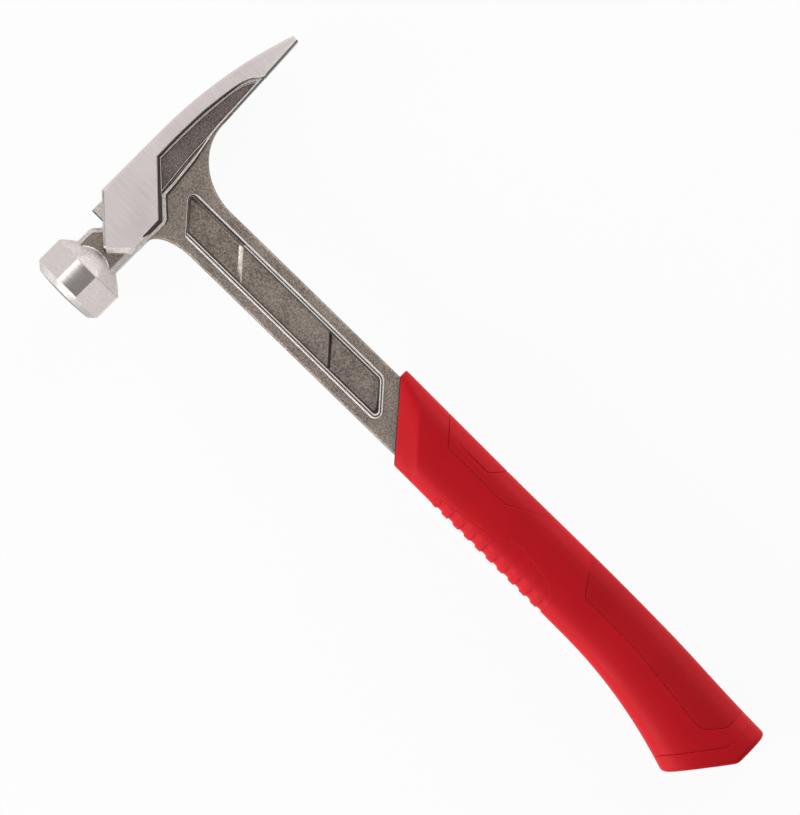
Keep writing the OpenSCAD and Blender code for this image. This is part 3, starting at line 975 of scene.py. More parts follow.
    def rim_bead(self, side: int) -> bpy.types.Object:
        """Builds the fine bead where the back cone of the bell runs out on the side of the neck.

        Args:
            side: 1 for the upper face, -1 for the lower one.

        Returns:
            The solid.
        """
        middle, level_half, fall = -0.9, 6.5, 0.35
        path = through([(-9.9, -46.7), (-7.6, -45.1), (-4.8, -43.5), (-1.0, -42.5), (3.0, -43.1),
                        (6.0, -44.5), (7.9, -45.8)], 4)
        run = np.gradient(path, axis=0)
        across = np.stack([run[:, 1], -run[:, 0]], axis=1) / np.linalg.norm(run, axis=1)[:, None]
        lower = np.clip(np.abs(path[:, 0] - middle) - level_half, 0.0, None) * fall
        rings = []
        for turn in np.linspace(0.0, 2 * math.pi, 10, endpoint=False):
            flat = path + across * self.rim_bead_r * math.cos(turn)
            rise = self.neck_half + self.rim_bead_r * math.sin(turn) - lower
            rings.append(np.column_stack([flat, side * rise]))
        # The bead is painted as a bright highlight line
        return skin("rim_bead", list(np.stack(rings, axis=1)), plain(Finish.WORN))

    def plate(self) -> bpy.types.Object:
        """Builds the cheek plates and the claw.

        Returns:
            The solid.
        """
        pocket_side = through([(-13.0, 5.75), (-13.2, 16.0), (-13.1, 26.0), (-12.8, 34.0), (-12.0, 42.0),
                               (-11.0, 50.0), (-9.6, 56.4), (-7.7, 60.5), (-5.6, 62.6)], 3)
        under_ys = np.linspace(self.pocket_end + 1.5, self.claw_reach, 9)
        top_ys = np.linspace(self.claw_reach, self.claw_bend, 30)
        under = np.stack([self.claw_under(under_ys), under_ys], axis=1)
        loop, kinds = joined([
            Chain(Edge.CHIN, np.array([(1.4, -40.4)])),
            Chain(Edge.THROAT, np.array([(7.3, -34.5)])),
            Chain(Edge.HEEL, np.array([(7.3, -24.0), (7.3, -13.8), (0.6, -7.4)])),
            Chain(Edge.POCKET, np.concatenate([np.array([(-1.6, -5.3)]), pocket_side])),
            Chain(Edge.UNDER, under[:-1]),
            Chain(Edge.TIP, under[-1:]),
            Chain(Edge.TOP, np.stack([self.claw_top(top_ys), top_ys], axis=1)),
            Chain(Edge.FRONT, np.array([(-self.head_rise, -22.2)])),
            Chain(Edge.BLUNT, np.array([(-1.2, -40.2)])),
        ])
        caps = {Edge.CHIN: 2.3, Edge.UNDER: 1.4, Edge.TIP: 0.5, Edge.TOP: 0.9, Edge.FRONT: 0.8,
                Edge.BLUNT: 1.25, Edge.HEEL: 0.45, Edge.POCKET: 0.5}
        brinks = {Edge.CHIN: 1.5, Edge.UNDER: 0.5, Edge.TIP: 0.1, Edge.TOP: 0.1, Edge.FRONT: 0.1,
                  Edge.BLUNT: 0.6, Edge.HEEL: 0.1, Edge.POCKET: 0.1}
        knees = {Edge.CHIN: 0.1, Edge.UNDER: 0.3}
        feet = {Edge.CHIN: 1.0, Edge.BLUNT: 0.5, Edge.THROAT: 2.3, Edge.HEEL: 2.5, Edge.POCKET: 1.2}
        cap = np.array([caps.get(kind, 0.0) for kind in kinds])
        brink = np.array([brinks.get(kind, 0.0) for kind in kinds])
        foot = np.array([feet.get(kind, 0.0) for kind in kinds])
        foot *= self.foot_fade.at(loop[:, 1])
        knee = np.array([knees.get(kind, -0.25 * out) for kind, out in zip(kinds, foot)])
        top, low = self.cheek_half, self.shank_half
        levels = [(inset(loop, cap + 0.3), top), (inset(loop, cap + 0.08), top - 0.08),
                  (inset(loop, brink), top - 0.75), (inset(loop, knee), top - 2.1),
                  (inset(loop, -foot), low)]
        # The heel's wall, painted dark as shade, runs out to a point where the throat begins
        levels[-1][0][2, 1] += self.heel_point
        rings = mirrored([lifted(points, z) for points, z in reversed(levels)])
        # Walls that face away from the light take painted shade; the chin, the throat and the rims take
        # painted highlights
        walls = {Edge.HEEL: Finish.DEEP_SHADE, Edge.POCKET: Finish.DEEP_SHADE, Edge.BLUNT: Finish.DEEP_SHADE,
                 Edge.UNDER: Finish.DEEP_SHADE, Edge.CHIN: Finish.WORN, Edge.THROAT: Finish.WORN,
                 Edge.FRONT: Finish.FACE}
        rims = {kind: Finish.WORN for kind in (Edge.UNDER, Edge.HEEL, Edge.CHIN, Edge.POCKET)}
        rims[Edge.FRONT] = Finish.FACE
        tables = dict.fromkeys((2, 3, 4, 5, 6), walls) | dict.fromkeys((0, 1, 7, 8), rims)

        def finish_at(band: int, edge: int) -> Finish:
            """Finish of a band at an edge."""
            return tables.get(band, {}).get(kinds[edge], Finish.GROUND)

        return skin("plate", rings, finish_at)

    def ledge(self) -> bpy.types.Object:
        """Builds the ledge below the plates, with the claw's side pockets and their thin frames.

        Returns:
            The solid.
        """
        throat = [(self.neck_drop, -30.0), (self.neck_drop, -22.0), (10.2, -17.5)]
        outer = [(10.1, -13.0), (9.4, -11.2), (1.25, -3.7), (1.1, 0.0), (0.3, 8.0), (-0.5, 16.0)]
        root = [(-1.0, 20.0), (-1.8, 26.0), (-2.8, 31.0)]
        under_ys = np.linspace(36.0, self.pocket_end + 1.0, 12)
        inner_ys = np.linspace(self.pocket_end + 1.0, -20.0, 12)
        loop, kinds = joined([
            Chain(Edge.THROAT, np.array(throat)),
            Chain(Edge.HEEL, np.array(outer)),
            Chain(Edge.UNDER, np.array(root)),
            Chain(Edge.UNDER, np.stack([self.claw_under(under_ys) - 0.02, under_ys], axis=1)),
            Chain(Edge.INSIDE, np.stack([self.claw_top(inner_ys) + 4.0, inner_ys], axis=1)),
            Chain(Edge.INSIDE, np.array([(-10.0, -30.0)])),
        ])
        foot = np.array([1.3 if kind is Edge.HEEL else 0.0 for kind in kinds])
        under = np.array([1.0 if kind is Edge.UNDER else 0.0 for kind in kinds])
        top, low = self.ledge_half, self.shank_half - 1.0
        levels = [(inset(loop, 0.2 + 1.6 * under), top), (inset(loop, 0.55 * under - 0.05), top - 0.15),
                  (inset(loop, -foot), low)]
        rings = mirrored([lifted(points, z) for points, z in reversed(levels)])
        caps, rims = (-1, len(rings) - 1), (0, len(rings) - 2)

        def finish_at(band: int, edge: int) -> Finish:
            """Chooses the finish of a band at an edge: painted highlight on the underside's rims, lit
            forged steel on the caps, the rims and the throat, painted shade on the other walls.

            Args:
                band: The band, counted from the lowest.
                edge: The edge of the outline.

            Returns:
                The finish.
            """
            if band in rims and kinds[edge] is Edge.UNDER:
                return Finish.WORN
            bright = band in caps + rims or kinds[edge] is Edge.THROAT
            return Finish.LIT_FORGED if bright else Finish.DEEP_SHADE

        piece = skin("ledge", rings, finish_at)
        for side in (-1, 1):
            combine(piece, self.pocket_tool(side), "DIFFERENCE")
        for side in (-1, 1):
            combine(piece, self.pocket_frame(side), "UNION")
        return piece

    def pocket_tool(self, side: int) -> bpy.types.Object:
        """Builds the cutter of the claw's side pocket, as wide as its frame and the groove beside it.

        Args:
            side: 1 for the upper face, -1 for the lower one.

        Returns:
            The cutter.
        """
        left = through([(-7.0, 59.2), (-8.7, 55.6), (-10.1, 49.5), (-10.95, 42.0), (-11.7, 34.0),
                        (-12.1, 20.0), (-12.1, 5.4)], 3)
        right = through([(-0.2, 4.0), (-0.75, 9.0), (-1.45, 16.0), (-2.1, 22.0), (-3.2, 27.5), (-4.2, 34.0),
                         (-4.65, 46.0)], 3)
        loop = np.concatenate([np.array([(-5.5, 61.2)]), left, np.array([(0.2, -5.1)]), right])
        top = self.ledge_half
        levels = [(0.5, top - 1.0), (0.1, top - 0.15), (0.0, top + 0.6)]
        rings = from_low([lifted(inset(loop, move), side * z) for move, z in levels], side)
        # The pocket's walls and floor take the darker forged steel as painted shade
        return skin("pocket_tool", rings, plain(Finish.POCKET))

    def pocket_frame(self, side: int) -> bpy.types.Object:
        """Builds the thin raised frame round the pocket's floor.

        Args:
            side: 1 for the upper face, -1 for the lower one.

        Returns:
            The solid.
        """
        left = through([(-6.9, 58.4), (-8.45, 55.0), (-9.8, 49.4), (-10.65, 42.0), (-11.4, 34.0),
                        (-11.85, 22.0), (-11.85, 6.2)], 3)
        right = through([(-1.9, 4.0), (-2.8, 12.0), (-3.3, 20.0), (-3.5, 26.0), (-3.95, 34.0),
                         (-4.35, 46.0)], 3)
        loop = np.concatenate([np.array([(-5.3, 60.5)]), left, np.array([(-1.1, -3.9)]), right])
        top = self.ledge_half
        section = [(-0.55, top - 1.15), (-0.2, top - 0.25), (-0.1, top - 0.12), (0.12, top - 0.12),
                   (0.22, top - 0.25), (0.55, top - 1.15), (0.55, top - 1.6), (-0.55, top - 1.6)]
        # The frame's crest takes painted highlights and its walls painted shade
        bright = dict.fromkeys((1, 2, 3), Finish.WORN)
        rings = [lifted(inset(loop, move), side * z) for move, z in section]
        return skin("pocket_frame", rings, lambda band, edge: bright.get(band, Finish.DEEP_SHADE), True)

    def neck(self) -> bpy.types.Object:
        """Builds the neck with the nail head's seat in its top.

        Returns:
            The solid.
        """
        seat, rise = -self.nail_wall, -self.neck_rise
        loop, kinds = joined([
            Chain(Edge.UNDER, np.array([(self.neck_drop, -48.0)])),
            Chain(Edge.INSIDE, np.array([(self.neck_drop, -22.0), (-10.5, -22.0), (-10.5, seat - 0.02)])),
            Chain(Edge.TOP, np.array([(-self.seat_rise, seat - 0.04), (-self.seat_rise, seat - 2.7),
                                      (-9.3, seat - 3.2), (rise + 0.7, seat - 5.1), (rise, seat - 6.6)])),
            Chain(Edge.INSIDE, np.array([(rise, -48.0)])),
        ])
        bevels = {Edge.UNDER: 2.6, Edge.TOP: 2.0}
        width = np.array([bevels.get(kind, 0.0) for kind in kinds])
        rings = []
        for move, drop in quarter_round(1.0, 6):
            rings.append(lifted(inset(loop, width * move), self.neck_half - 2.2 * drop))
        rings = mirrored(rings)
        caps = dict.fromkeys((-1, len(rings) - 1), Finish.FORGED)
        return skin("neck", rings, lambda band, edge: caps.get(band, Finish.CONE))

    def shoulder(self) -> bpy.types.Object:
        """Builds the shoulder behind the nail head.

        Returns:
            The solid.
        """
        loop = np.array([(-6.0, -self.nail_wall), (-6.0, -20.0), (-self.shoulder_rise, -20.0),
                         (-self.shoulder_rise, -self.nail_wall)])
        moves = np.array([0.0, 0.0, 1.0, 1.0])
        rings = [lifted(inset(loop, moves * move), self.ledge_half + 0.1 - drop)
                 for move, drop in quarter_round(0.5, 3)]
        rings = mirrored(rings)
        front_edge, caps = 3, (-1, len(rings) - 1)

        def finish_at(band: int, edge: int) -> Finish:
            """Finish of a band at an edge: painted shade on the wall that the nail head meets, lit forged
            steel elsewhere.
            """
            return Finish.DEEP_SHADE if band not in caps and edge == front_edge else Finish.LIT_FORGED

        return skin("shoulder", rings, finish_at)

    def shank(self) -> bpy.types.Object:
        """Builds the shank and the web that flares into the head.

        Returns:
            The solid.
        """
        front = quarter_ellipse(29.8, 20.0, -24.5, self.shank_edge(29.8, -1), 22)
        back = quarter_ellipse(27.0, 30.2, self.claw_root, self.shank_edge(27.0, 1), 30)
        front_xs = np.linspace(34.0, self.shank_end, 14)
        back_xs = np.linspace(self.shank_end, 31.0, 14)
        loop = np.concatenate([
            np.array([(-6.5, -30.0), (9.6, -30.0)]), front,
            np.stack([front_xs, self.shank_edge(front_xs, -1)], axis=1),
            np.stack([back_xs, self.shank_edge(back_xs, 1)], axis=1), back[::-1],
            np.array([(-6.5, self.claw_root)])])
        rings = [lifted(inset(loop, move), self.shank_half - drop)
                 for move, drop in quarter_round(self.shank_round, 5)]
        rings = mirrored(rings)
        return skin("shank", rings, plain(Finish.FORGED))

    def panel_loop(self, move: float) -> Loop:
        """Draws the outline of the shank's side panel.

        Args:
            move: How far it lies inside the panel's outer edge; half as far at the head's end.

        Returns:
            The outline.
        """
        half, lean = self.panel_w / 2, math.tan(math.radians(self.panel_slant))
        end = self.panel_start + self.panel_len
        corners = np.array([(self.panel_start, -half), (end, -half), (end - self.panel_w * lean, half),
                            (self.panel_start - self.panel_w * lean, half)])
        radii = [max(radius - move, least) for radius, least in self.panel_rounds]
        loop = rounded(inset(corners, move * np.array([1.0, 1.0, 1.0, 0.5])), radii)
        # One point more on the back run, where the bead's look changes
        turn = np.array([self.bead_turn, loop[PANEL_BACK, 1]])
        return self.on_shank(np.insert(loop, PANEL_BACK + 1, turn, axis=0))

    def panel_tool(self, side: int) -> bpy.types.Object:
        """Builds the cutter of the side panel.

        Args:
            side: 1 for the upper face, -1 for the lower one.

        Returns:
            The cutter.
        """
        levels = [(2.8, self.panel_floor), (0.3, self.panel_floor + 0.9),
                  (0.28, self.shank_half + self.overrun)]
        rings = from_low([lifted(self.panel_loop(move), side * z) for move, z in levels], side)
        return skin("panel_tool", rings, plain(Finish.FORGED))

    def panel_bead(self, side: int) -> bpy.types.Object:
        """Builds the double bead round the side panel, with the panel's sloping wall.

        Args:
            side: 1 for the upper face, -1 for the lower one.

        Returns:
            The solid.
        """
        top, floor = self.shank_half, self.panel_floor
        section = [(-0.4, top - 0.3), (-0.15, top + 0.2), (0.08, top + 0.44), (0.48, top + 0.42),
                   (0.78, top - 0.1), (1.15, top - 0.1), (1.42, top + 0.3), (1.8, top + 0.24),
                   (2.5, floor + 0.85), (2.9, floor + 0.22), (3.5, floor - 0.08), (3.5, floor - 0.7),
                   (-0.4, floor - 0.7)]
        # The two crests take painted highlights; the groove between them and the wall's foot take painted
        # shade
        outer, inner = (1, 2, 3), (5, 6)
        rest = {4: Finish.DEEP_SHADE, 7: Finish.DEEP_SHADE, 8: Finish.POCKET}
        rest |= dict.fromkeys(outer + inner, Finish.WORN)
        shaded_near_head = rest | {5: Finish.DEEP_SHADE, 6: Finish.POCKET, 7: Finish.POCKET, 8: Finish.FORGED}
        rings = [lifted(self.panel_loop(move), side * z) for move, z in section]

        def finish_at(band: int, edge: int) -> Finish:
            """Finish of a band at an edge, with more painted shade near the head."""
            return (shaded_near_head if edge > PANEL_BACK else rest).get(band, Finish.FORGED)

        return skin("panel_bead", rings, finish_at, True)

    def panel_middle(self, side: int) -> bpy.types.Object:
        """Builds the raised middle of the side panel, between its two cross steps.

        Args:
            side: 1 for the upper face, -1 for the lower one.

        Returns:
            The solid.
        """
        half, lean = self.panel_w / 2 - 1.9, math.tan(math.radians(self.panel_slant))
        start, end = self.middle_start + half * lean, self.middle_end + half * lean
        loop = np.array([(start, -half), (end, -half), (end - 2 * half * lean, half),
                         (start - 2 * half * lean, half)])
        slope = np.array([0.0, 1.2, 0.0, 1.9])
        levels = [(-1.2, self.panel_floor - 0.5), (-0.75, self.panel_floor + 0.1),
                  (-0.1, self.middle_top - 0.12), (0.3, self.middle_top)]
        rings = from_low([lifted(self.on_shank(inset(loop, slope * move)), side * z)
                          for move, z in levels], side)
        # One cross step takes painted shade, the other a painted highlight
        steps, caps = {1: Finish.DEEP_SHADE, 3: Finish.LIT_FORGED}, (-1, len(rings) - 1)

        def finish_at(band: int, edge: int) -> Finish:
            """Finish of a band at an edge, with painted shade on one cross step and a painted highlight on
            the other.
            """
            return Finish.FORGED if band in caps else steps.get(edge, Finish.FORGED)

        return skin("panel_middle", rings, finish_at)

    def tang(self) -> bpy.types.Object:
        """Builds the tang inside the grip, with its keying windows.

        Returns:
            The solid.
        """
        half = self.tang_w / 2
        corners = np.array([(self.shank_end - 2.0, -half), (self.tang_end, -half), (self.tang_end, half),
                            (self.shank_end - 2.0, half)])
        loop = rounded(corners, [0.5, 4.5, 4.5, 0.5])
        piece = skin("tang", [lifted(loop, z) for z in (-self.tang_half, self.tang_half)],
                     plain(Finish.FORGED))
        x_half, y_half, z_half = self.window_len / 2, self.window_w / 2, self.tang_half + self.overrun
        signs = np.array([(-1.0, -1.0), (1.0, -1.0), (1.0, 1.0), (-1.0, 1.0)])
        for share in self.window_shares:
            middle = self.shank_end + (self.tang_end - self.shank_end) * share
            window = rounded(signs * (x_half, y_half) + (middle, 0.0), [self.window_r] * len(signs))
            tool = skin("window_tool", [lifted(window, z) for z in (-z_half, z_half)], plain(Finish.FORGED))
            combine(piece, tool, "DIFFERENCE")
        return piece

    def slot_tool(self) -> bpy.types.Object:
        """Builds the cutter of the nail slot between the tines.

        Returns:
            The cutter.
        """
        root, far = self.claw_reach - self.slot_len, self.claw_reach + self.overrun
        radius, mouth, heights = self.slot_root_r, self.slot_mouth / 2, (-26.0, 2.0)
        turn = np.linspace(0.0, math.pi, 17)
        arch = np.stack([root - radius * np.sin(turn), radius * np.cos(turn)], axis=1)
        loop = np.concatenate([arch, np.array([(far, -mouth), (far, mouth)])])
        rings = [np.column_stack([np.full(len(loop), x), loop]) for x in heights]
        return skin("slot_tool", rings, plain(Finish.GROUND))

    def groove_tool(self) -> bpy.types.Object:
        """Builds the cutter of the nail groove along the top of the neck and the bell.

        Returns:
            The cutter.
        """
        radius, floor, above = self.groove_w / 2, self.groove_bite - self.neck_rise, -30.0
        turn = np.linspace(-math.pi / 2, math.pi / 2, 17)
        arch = np.stack([floor - radius + radius * np.cos(turn), radius * np.sin(turn)], axis=1)
        loop = np.concatenate([arch, np.array([(above, radius), (above, -radius)])])
        ends = (-self.face_reach - self.overrun, -self.nail_wall + 0.01)
        rings = [np.column_stack([loop[:, 0], np.full(len(loop), y), loop[:, 1]]) for y in ends]
        return skin("groove_tool", rings, plain(Finish.CONE))

    def bore_tool(self) -> bpy.types.Object:
        """Builds the cutter of the magnet's bore.

        Returns:
            The cutter.
        """
        turn = np.linspace(0.0, 2 * math.pi, 48, endpoint=False)
        across = np.stack([np.cos(turn), np.sin(turn)], axis=1) * self.magnet_d / 2
        floor = self.groove_bite - self.neck_rise
        rings = [np.column_stack([np.full(len(turn), x), across[:, 0] - self.magnet_reach, across[:, 1]])
                 for x in (floor - 1.0, floor + self.magnet_t)]
        return skin("bore_tool", rings, plain(Finish.CONE))

    def build(self) -> bpy.types.Object:
        """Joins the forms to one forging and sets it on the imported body.

        Returns:
            The forging.
        """
        piece = self.shank()
        piece.name = "hammer_forging"
        sides = (1, -1)
        for side in sides:
            combine(piece, self.panel_tool(side), "DIFFERENCE")
        for side in sides:
            combine(piece, self.panel_bead(side), "UNION")
            combine(piece, self.panel_middle(side), "UNION")
        for form in (self.tang, self.ledge, self.neck, self.shoulder, self.plate, self.bell):
            combine(piece, form(), "UNION")
        for side in sides:
            combine(piece, self.rim_bead(side), "UNION")
        for tool in (self.slot_tool, self.groove_tool, self.bore_tool):
            combine(piece, tool(), "DIFFERENCE")
        smooth(piece, self.sharp_degrees)
        settle(piece, "forged_steel", "forged_body")
        return piece


# Grip


class Shell(Enum):
    """The moulded pieces of the grip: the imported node, the visual piece, its slot and its finish."""

    SLEEVE = ("grip_sleeve", "sleeve_shell", "grip_red", Finish.RED)
    FINGER = ("finger_pad", "ribbed_pad", "grip_inlay", Finish.RED)
    THUMB = ("thumb_pad", "thumb_inlay", "grip_inlay", Finish.RED)
    PALM = ("palm_pad", "palm_inlay", "grip_inlay", Finish.INLAY)
    CAP = ("butt_cap", "butt_shell", "grip_red", Finish.RED)


@dataclass
class Grip:
    """The moulded grip: sleeve, three pads let into it and the butt cap."""

    start: float = 143.5
    end: float = 360.0
    depth: float = 34.0
    width: float = 27.0
    collar_w: float = 17.0
    collar_len: float = 13.0
    collar_slant: float = 41.0
    collar_turn: float = 13.0
    collar_power: float = 5.0
    power: float = 2.7
    slant_fade: float = 50.0
    butt_w: float = 33.0
    butt_flare: float = 11.8
    flare_run: float = 95.0
    flare_len: float = 73.0
    butt_slant: float = 37.3
    butt_fade: float = 62.0
    butt_bend: float = 2.5
    butt_round: float = 2.4
    cap_len: float = 8.0
    palm_swell: float = 0.6
    palm_fall: float = 1.7
    fall_len: float = 65.0
    thumb_fade: Fade = Fade(206.0, 8.0, 1.0, 0.1)
    groove_fade: Fade = Fade(168.0, 20.0, 0.35, 1.0)
    palm_fade: Fade = Fade(7.5, 4.0, 1.0, 0.1)
    cap_fade: Fade = Fade(-1.0, 3.0, 1.0, 0.05)
    seam_half: float = 0.32
    seam_depth: float = 0.35
    seam_knee: float = 0.6
    seam_knee_share: float = 0.18
    # Depth of the finger, thumb and palm pads' lines, and of the thumb pad's inner line
    line_depths: tuple[float, ...] = (0.05, 0.35, 0.35, 0.4)
    rib_first: float = 183.2
    rib_pitch: float = 6.95
    rib_count: int = 10
    rib_half: float = 1.5
    rib_edges: tuple[float, float] = (1.0, 0.5)
    rib_lead: float = 13.0
    rib_tail: float = 2.0
    rib_wall: Fade = Fade(0.3, 0.7, 0.0, 1.0)
    rib_wrap: Fade = Fade(-0.4 / 3.0, 1.0 / 3.0, 0.0, 1.0)
    rib_fade: Fade = Fade(0.6, 0.25, 0.1, 1.0)
    rib_proud: float = 0.3
    rib_sunk: float = 0.5
    # Length of the collar's first band, which carries the painted shadow line
    painted_shadow_len: float = 0.4
    wall: float = 1.6
    columns: int = 120
    fine_edge: float = 0.5
    fine_reach: float = 1.2
    snap_share: float = 0.3
    sharp_degrees: float = 38.0

    @property
    def cap_start(self) -> float:
        """Station of the seam between the sleeve and the butt cap."""
        return self.end - self.cap_len

    def lean(self, s: float, y: np.ndarray) -> np.ndarray:
        """Finds how far a ring's points move along x, so that it slants at the collar and the butt.

        Args:
            s: Station of the ring.
            y: y of each point.

        Returns:
            The move of each point.
        """
        fade = 1 - eased((s - self.start - self.collar_len) / self.slant_fade)
        collar = math.tan(math.radians(self.collar_slant)) * np.minimum(y, self.collar_turn) * fade
        below = -self.butt_bend * eased((s - self.cap_start) / self.cap_len) - np.asarray(y, float)
        soft = (below + np.sqrt(below * below + 1.0)) / 2
        come = eased((s - self.cap_start + self.butt_fade) / self.butt_fade)
        return -collar - math.tan(math.radians(self.butt_slant)) * soft * come

    def finger_side(self, x: float) -> float:
        """Grip axis to the finger side at x."""
        past = max(0.0, x - self.end + self.flare_run) / self.flare_len
        return self.depth / 2 + self.butt_flare * past * past

    def palm_side(self, x: float) -> float:
        """Measures from the grip's axis to its palm side.

        Args:
            x: Where along the grip.

        Returns:
            The distance.
        """
        away = min(1.0, abs(x - self.end + self.flare_run) / self.flare_len)
        swell = self.palm_swell * (1 + math.cos(math.pi * away)) / 2
        fall = self.palm_fall * eased((x - self.end + self.fall_len) / self.fall_len)
        return self.depth / 2 + swell - fall

    def ring(self, s: float, turn: np.ndarray, inset_y: float = 0.0,
             inset_z: float = 0.0) -> np.ndarray:
        """Draws points of one ring of the grip's surface.

        Args:
            s: Station along the grip.
            turn: Angle of each point round the grip, from the back.
            inset_y: How far the ring lies inside the surface, front and back.
            inset_z: The same on the two sides.

        Returns:
            The points.
        """
        front = self.depth / 2
        # The front's depth and its lean depend on each other and settle in a few rounds
        for _ in range(6):
            front = self.finger_side(s + float(self.lean(s, np.array(-front))))
        back = self.palm_side(s)
        rise = (s - self.start) / self.collar_len
        level = (rise + 1.0 - math.sqrt((rise - 1.0) ** 2 + 0.004)) / 2
        flare = (self.butt_w - self.width) / 2 * eased((s - self.end + self.flare_run) / self.flare_len)
        half_z = (self.collar_w + (self.width - self.collar_w) * max(level, 0.0)) / 2 + flare - inset_z
        half_y = (back + front) / 2 - inset_y
        power = 2 / (self.collar_power + (self.power - self.collar_power) * eased(rise))
        y = (back - front) / 2 + half_y * signed_power(np.cos(turn), power)
        z = half_z * signed_power(np.sin(turn), power)
        return np.stack([s + self.lean(s, y), y, z], axis=1)

    def stations(self) -> list[tuple[float, float, float]]:
        """Lists the rings from inside the collar to the middle of the butt.

        Returns:
            Station and the two insets of each ring.
        """
        start, cap, end = self.start, self.cap_start, self.end
        rib_start = self.rib_first - self.rib_lead
        rib_end = self.rib_first + self.rib_count * self.rib_pitch + self.rib_tail
        rows = [(start + 5.0, 3.2, 2.2), (start + 0.3, 3.2, 2.2), (start, 2.7, 1.9), (start, 0.7, 0.7),
                (start + 0.12, 0.3, 0.3), (start + 0.5, 0.05, 0.05)]
        runs = [(start + 0.9, start + 11.5, 1.2), (start + 11.5, start + 15.0, 0.5),
                (start + 15.0, rib_start, 0.9), (rib_start, rib_end, 0.55), (rib_end, cap - 1.0, 0.95)]
        for a, b, step in runs:
            count = max(1, round((b - a) / step))
            rows += [(float(s), 0.0, 0.0) for s in np.linspace(a, b, count, endpoint=False)]
        for share in (-1.0, -self.seam_knee, 0.0, self.seam_knee, 1.0):
            rows.append((cap + self.seam_half * share, 0.0, 0.0))
        rows += [(float(s), 0.0, 0.0) for s in np.linspace(cap + 1.2, end - self.butt_round, 4)]
        for turn in np.linspace(0.0, math.pi / 2, 8)[1:]:
            move = self.butt_round * (1 - math.cos(turn))
            rows.append((end - self.butt_round * (1 - math.sin(turn)), move, move))
        for move in (4.0, 7.0, 10.0, 13.0, 15.0):
            rows.append((end, move, move))
        return rows

    def outlines(self) -> dict[Shell, Loop]:
        """Draws the pads' outlines in the side view.

        Returns:
            The outline of each pad, with rounded corners.
        """
        shares = {
            Shell.FINGER: [(0.503, -2.0, 1.0), (0.495, -0.62, 2.5), (0.455, -0.3, 6.0), (0.37, -0.16, 6.0),
                           (0.31, -0.5, 10.0), (0.18, -0.78, 2.5), (0.155, -2.0, 1.0)],
            Shell.THUMB: [(0.0, 2.0, 1.0), (0.122, 0.335, 1.2), (0.285, 0.335, 2.0), (0.36, 0.85, 3.0),
                          (0.37, 2.0, 1.0)],
            Shell.PALM: [(0.427, 2.0, 1.0), (0.538, 0.09, 2.0), (0.68, 0.09, 60.0), (0.897, -0.2, 6.0),
                         (0.932, 0.3, 6.0), (0.932, 2.0, 1.0)],
        }
        return {shell: self.drawn(points) for shell, points in shares.items()}

    def drawn(self, points: Sequence[tuple[float, float, float]]) -> Loop:
        """Draws an outline on the grip.

        Args:
            points: Share along the grip, share across its half depth and radius of each corner.

        Returns:
            The outline, in millimetres.
        """
        table = np.array(points)
        corners = np.stack([self.start + (self.end - self.start) * table[:, 0],
                            table[:, 1] * self.depth / 2], axis=1)
        return rounded(corners, table[:, 2])

    def thumb_groove(self) -> Loop:
        """Draws the second, inner line of the thumb pad."""
        return self.drawn([(0.082, 2.0, 1.0), (0.134, 0.6, 1.2), (0.216, 0.6, 1.5), (0.31, 2.0, 1.0)])

    def form(self) -> bmesh.types.BMesh:
        """Builds the grip's outer surface as one sheet.

        Returns:
            The sheet, on the datum, with each point's station and turn in its layers.
        """
        sheet = bmesh.new()
        floats = sheet.verts.layers.float
        for name in ("station", "front", "side"):
            floats.new(name)
        station, front, side = (floats[name] for name in ("station", "front", "side"))
        turn = 2 * math.pi * (np.arange(self.columns) + 0.5) / self.columns
        grid = []
        for s, inset_y, inset_z in self.stations():
            ring = [sheet.verts.new(point) for point in self.ring(s, turn, inset_y, inset_z)]
            for vert, angle in zip(ring, turn):
                vert[station], vert[front], vert[side] = s, -math.cos(angle), math.sin(angle)
            grid.append(ring)
        for low, high in zip(grid, grid[1:]):
            for i in range(self.columns):
                j = (i + 1) % self.columns
                sheet.faces.new((low[i], low[j], high[j], high[i]))
        sheet.faces.new(grid[-1])
        return sheet

    def lay(self, sheet: bmesh.types.BMesh, verts: Sequence[bmesh.types.BMVert]) -> None:
        """Lays points that split an edge on the grip's true surface.

        Args:
            sheet: The grip's surface.
            verts: The points.
        """
        floats = sheet.verts.layers.float
        station, front, side = (floats[name] for name in ("station", "front", "side"))
        for vert in verts:
            angle = math.atan2(vert[side], -vert[front])
            vert[front], vert[side] = -math.cos(angle), math.sin(angle)
            vert.co = self.ring(vert[station], np.array([angle]))[0]

    def refine(self, sheet: bmesh.types.BMesh, name: str, outline: Loop) -> None:
        """Splits the long edges near an outline, so that its corners can be followed.

        Args:
            sheet: The grip's surface.
            name: Name of the layer that keeps the distance to the outline.
            outline: The outline.
        """
        layer = sheet.verts.layers.float[name]
        near = [vert for vert in sheet.verts if abs(vert[layer]) < self.fine_reach]
        faces = {face for vert in near for face in vert.link_faces}
        bmesh.ops.triangulate(sheet, faces=list(faces))
        edges = {edge for vert in near for edge in vert.link_edges if edge.calc_length() > self.fine_edge}
        split = bmesh.ops.subdivide_edges(sheet, edges=list(edges), cuts=1)
        verts = [item for item in split["geom_inner"] if isinstance(item, bmesh.types.BMVert)]
        self.lay(sheet, verts)
        for vert, away in zip(verts, outside_by(np.array([v.co for v in verts]), outline)):
            vert[layer] = away
        faces = {face for vert in verts for face in vert.link_faces if len(face.verts) > 3}
        bmesh.ops.triangulate(sheet, faces=list(faces))

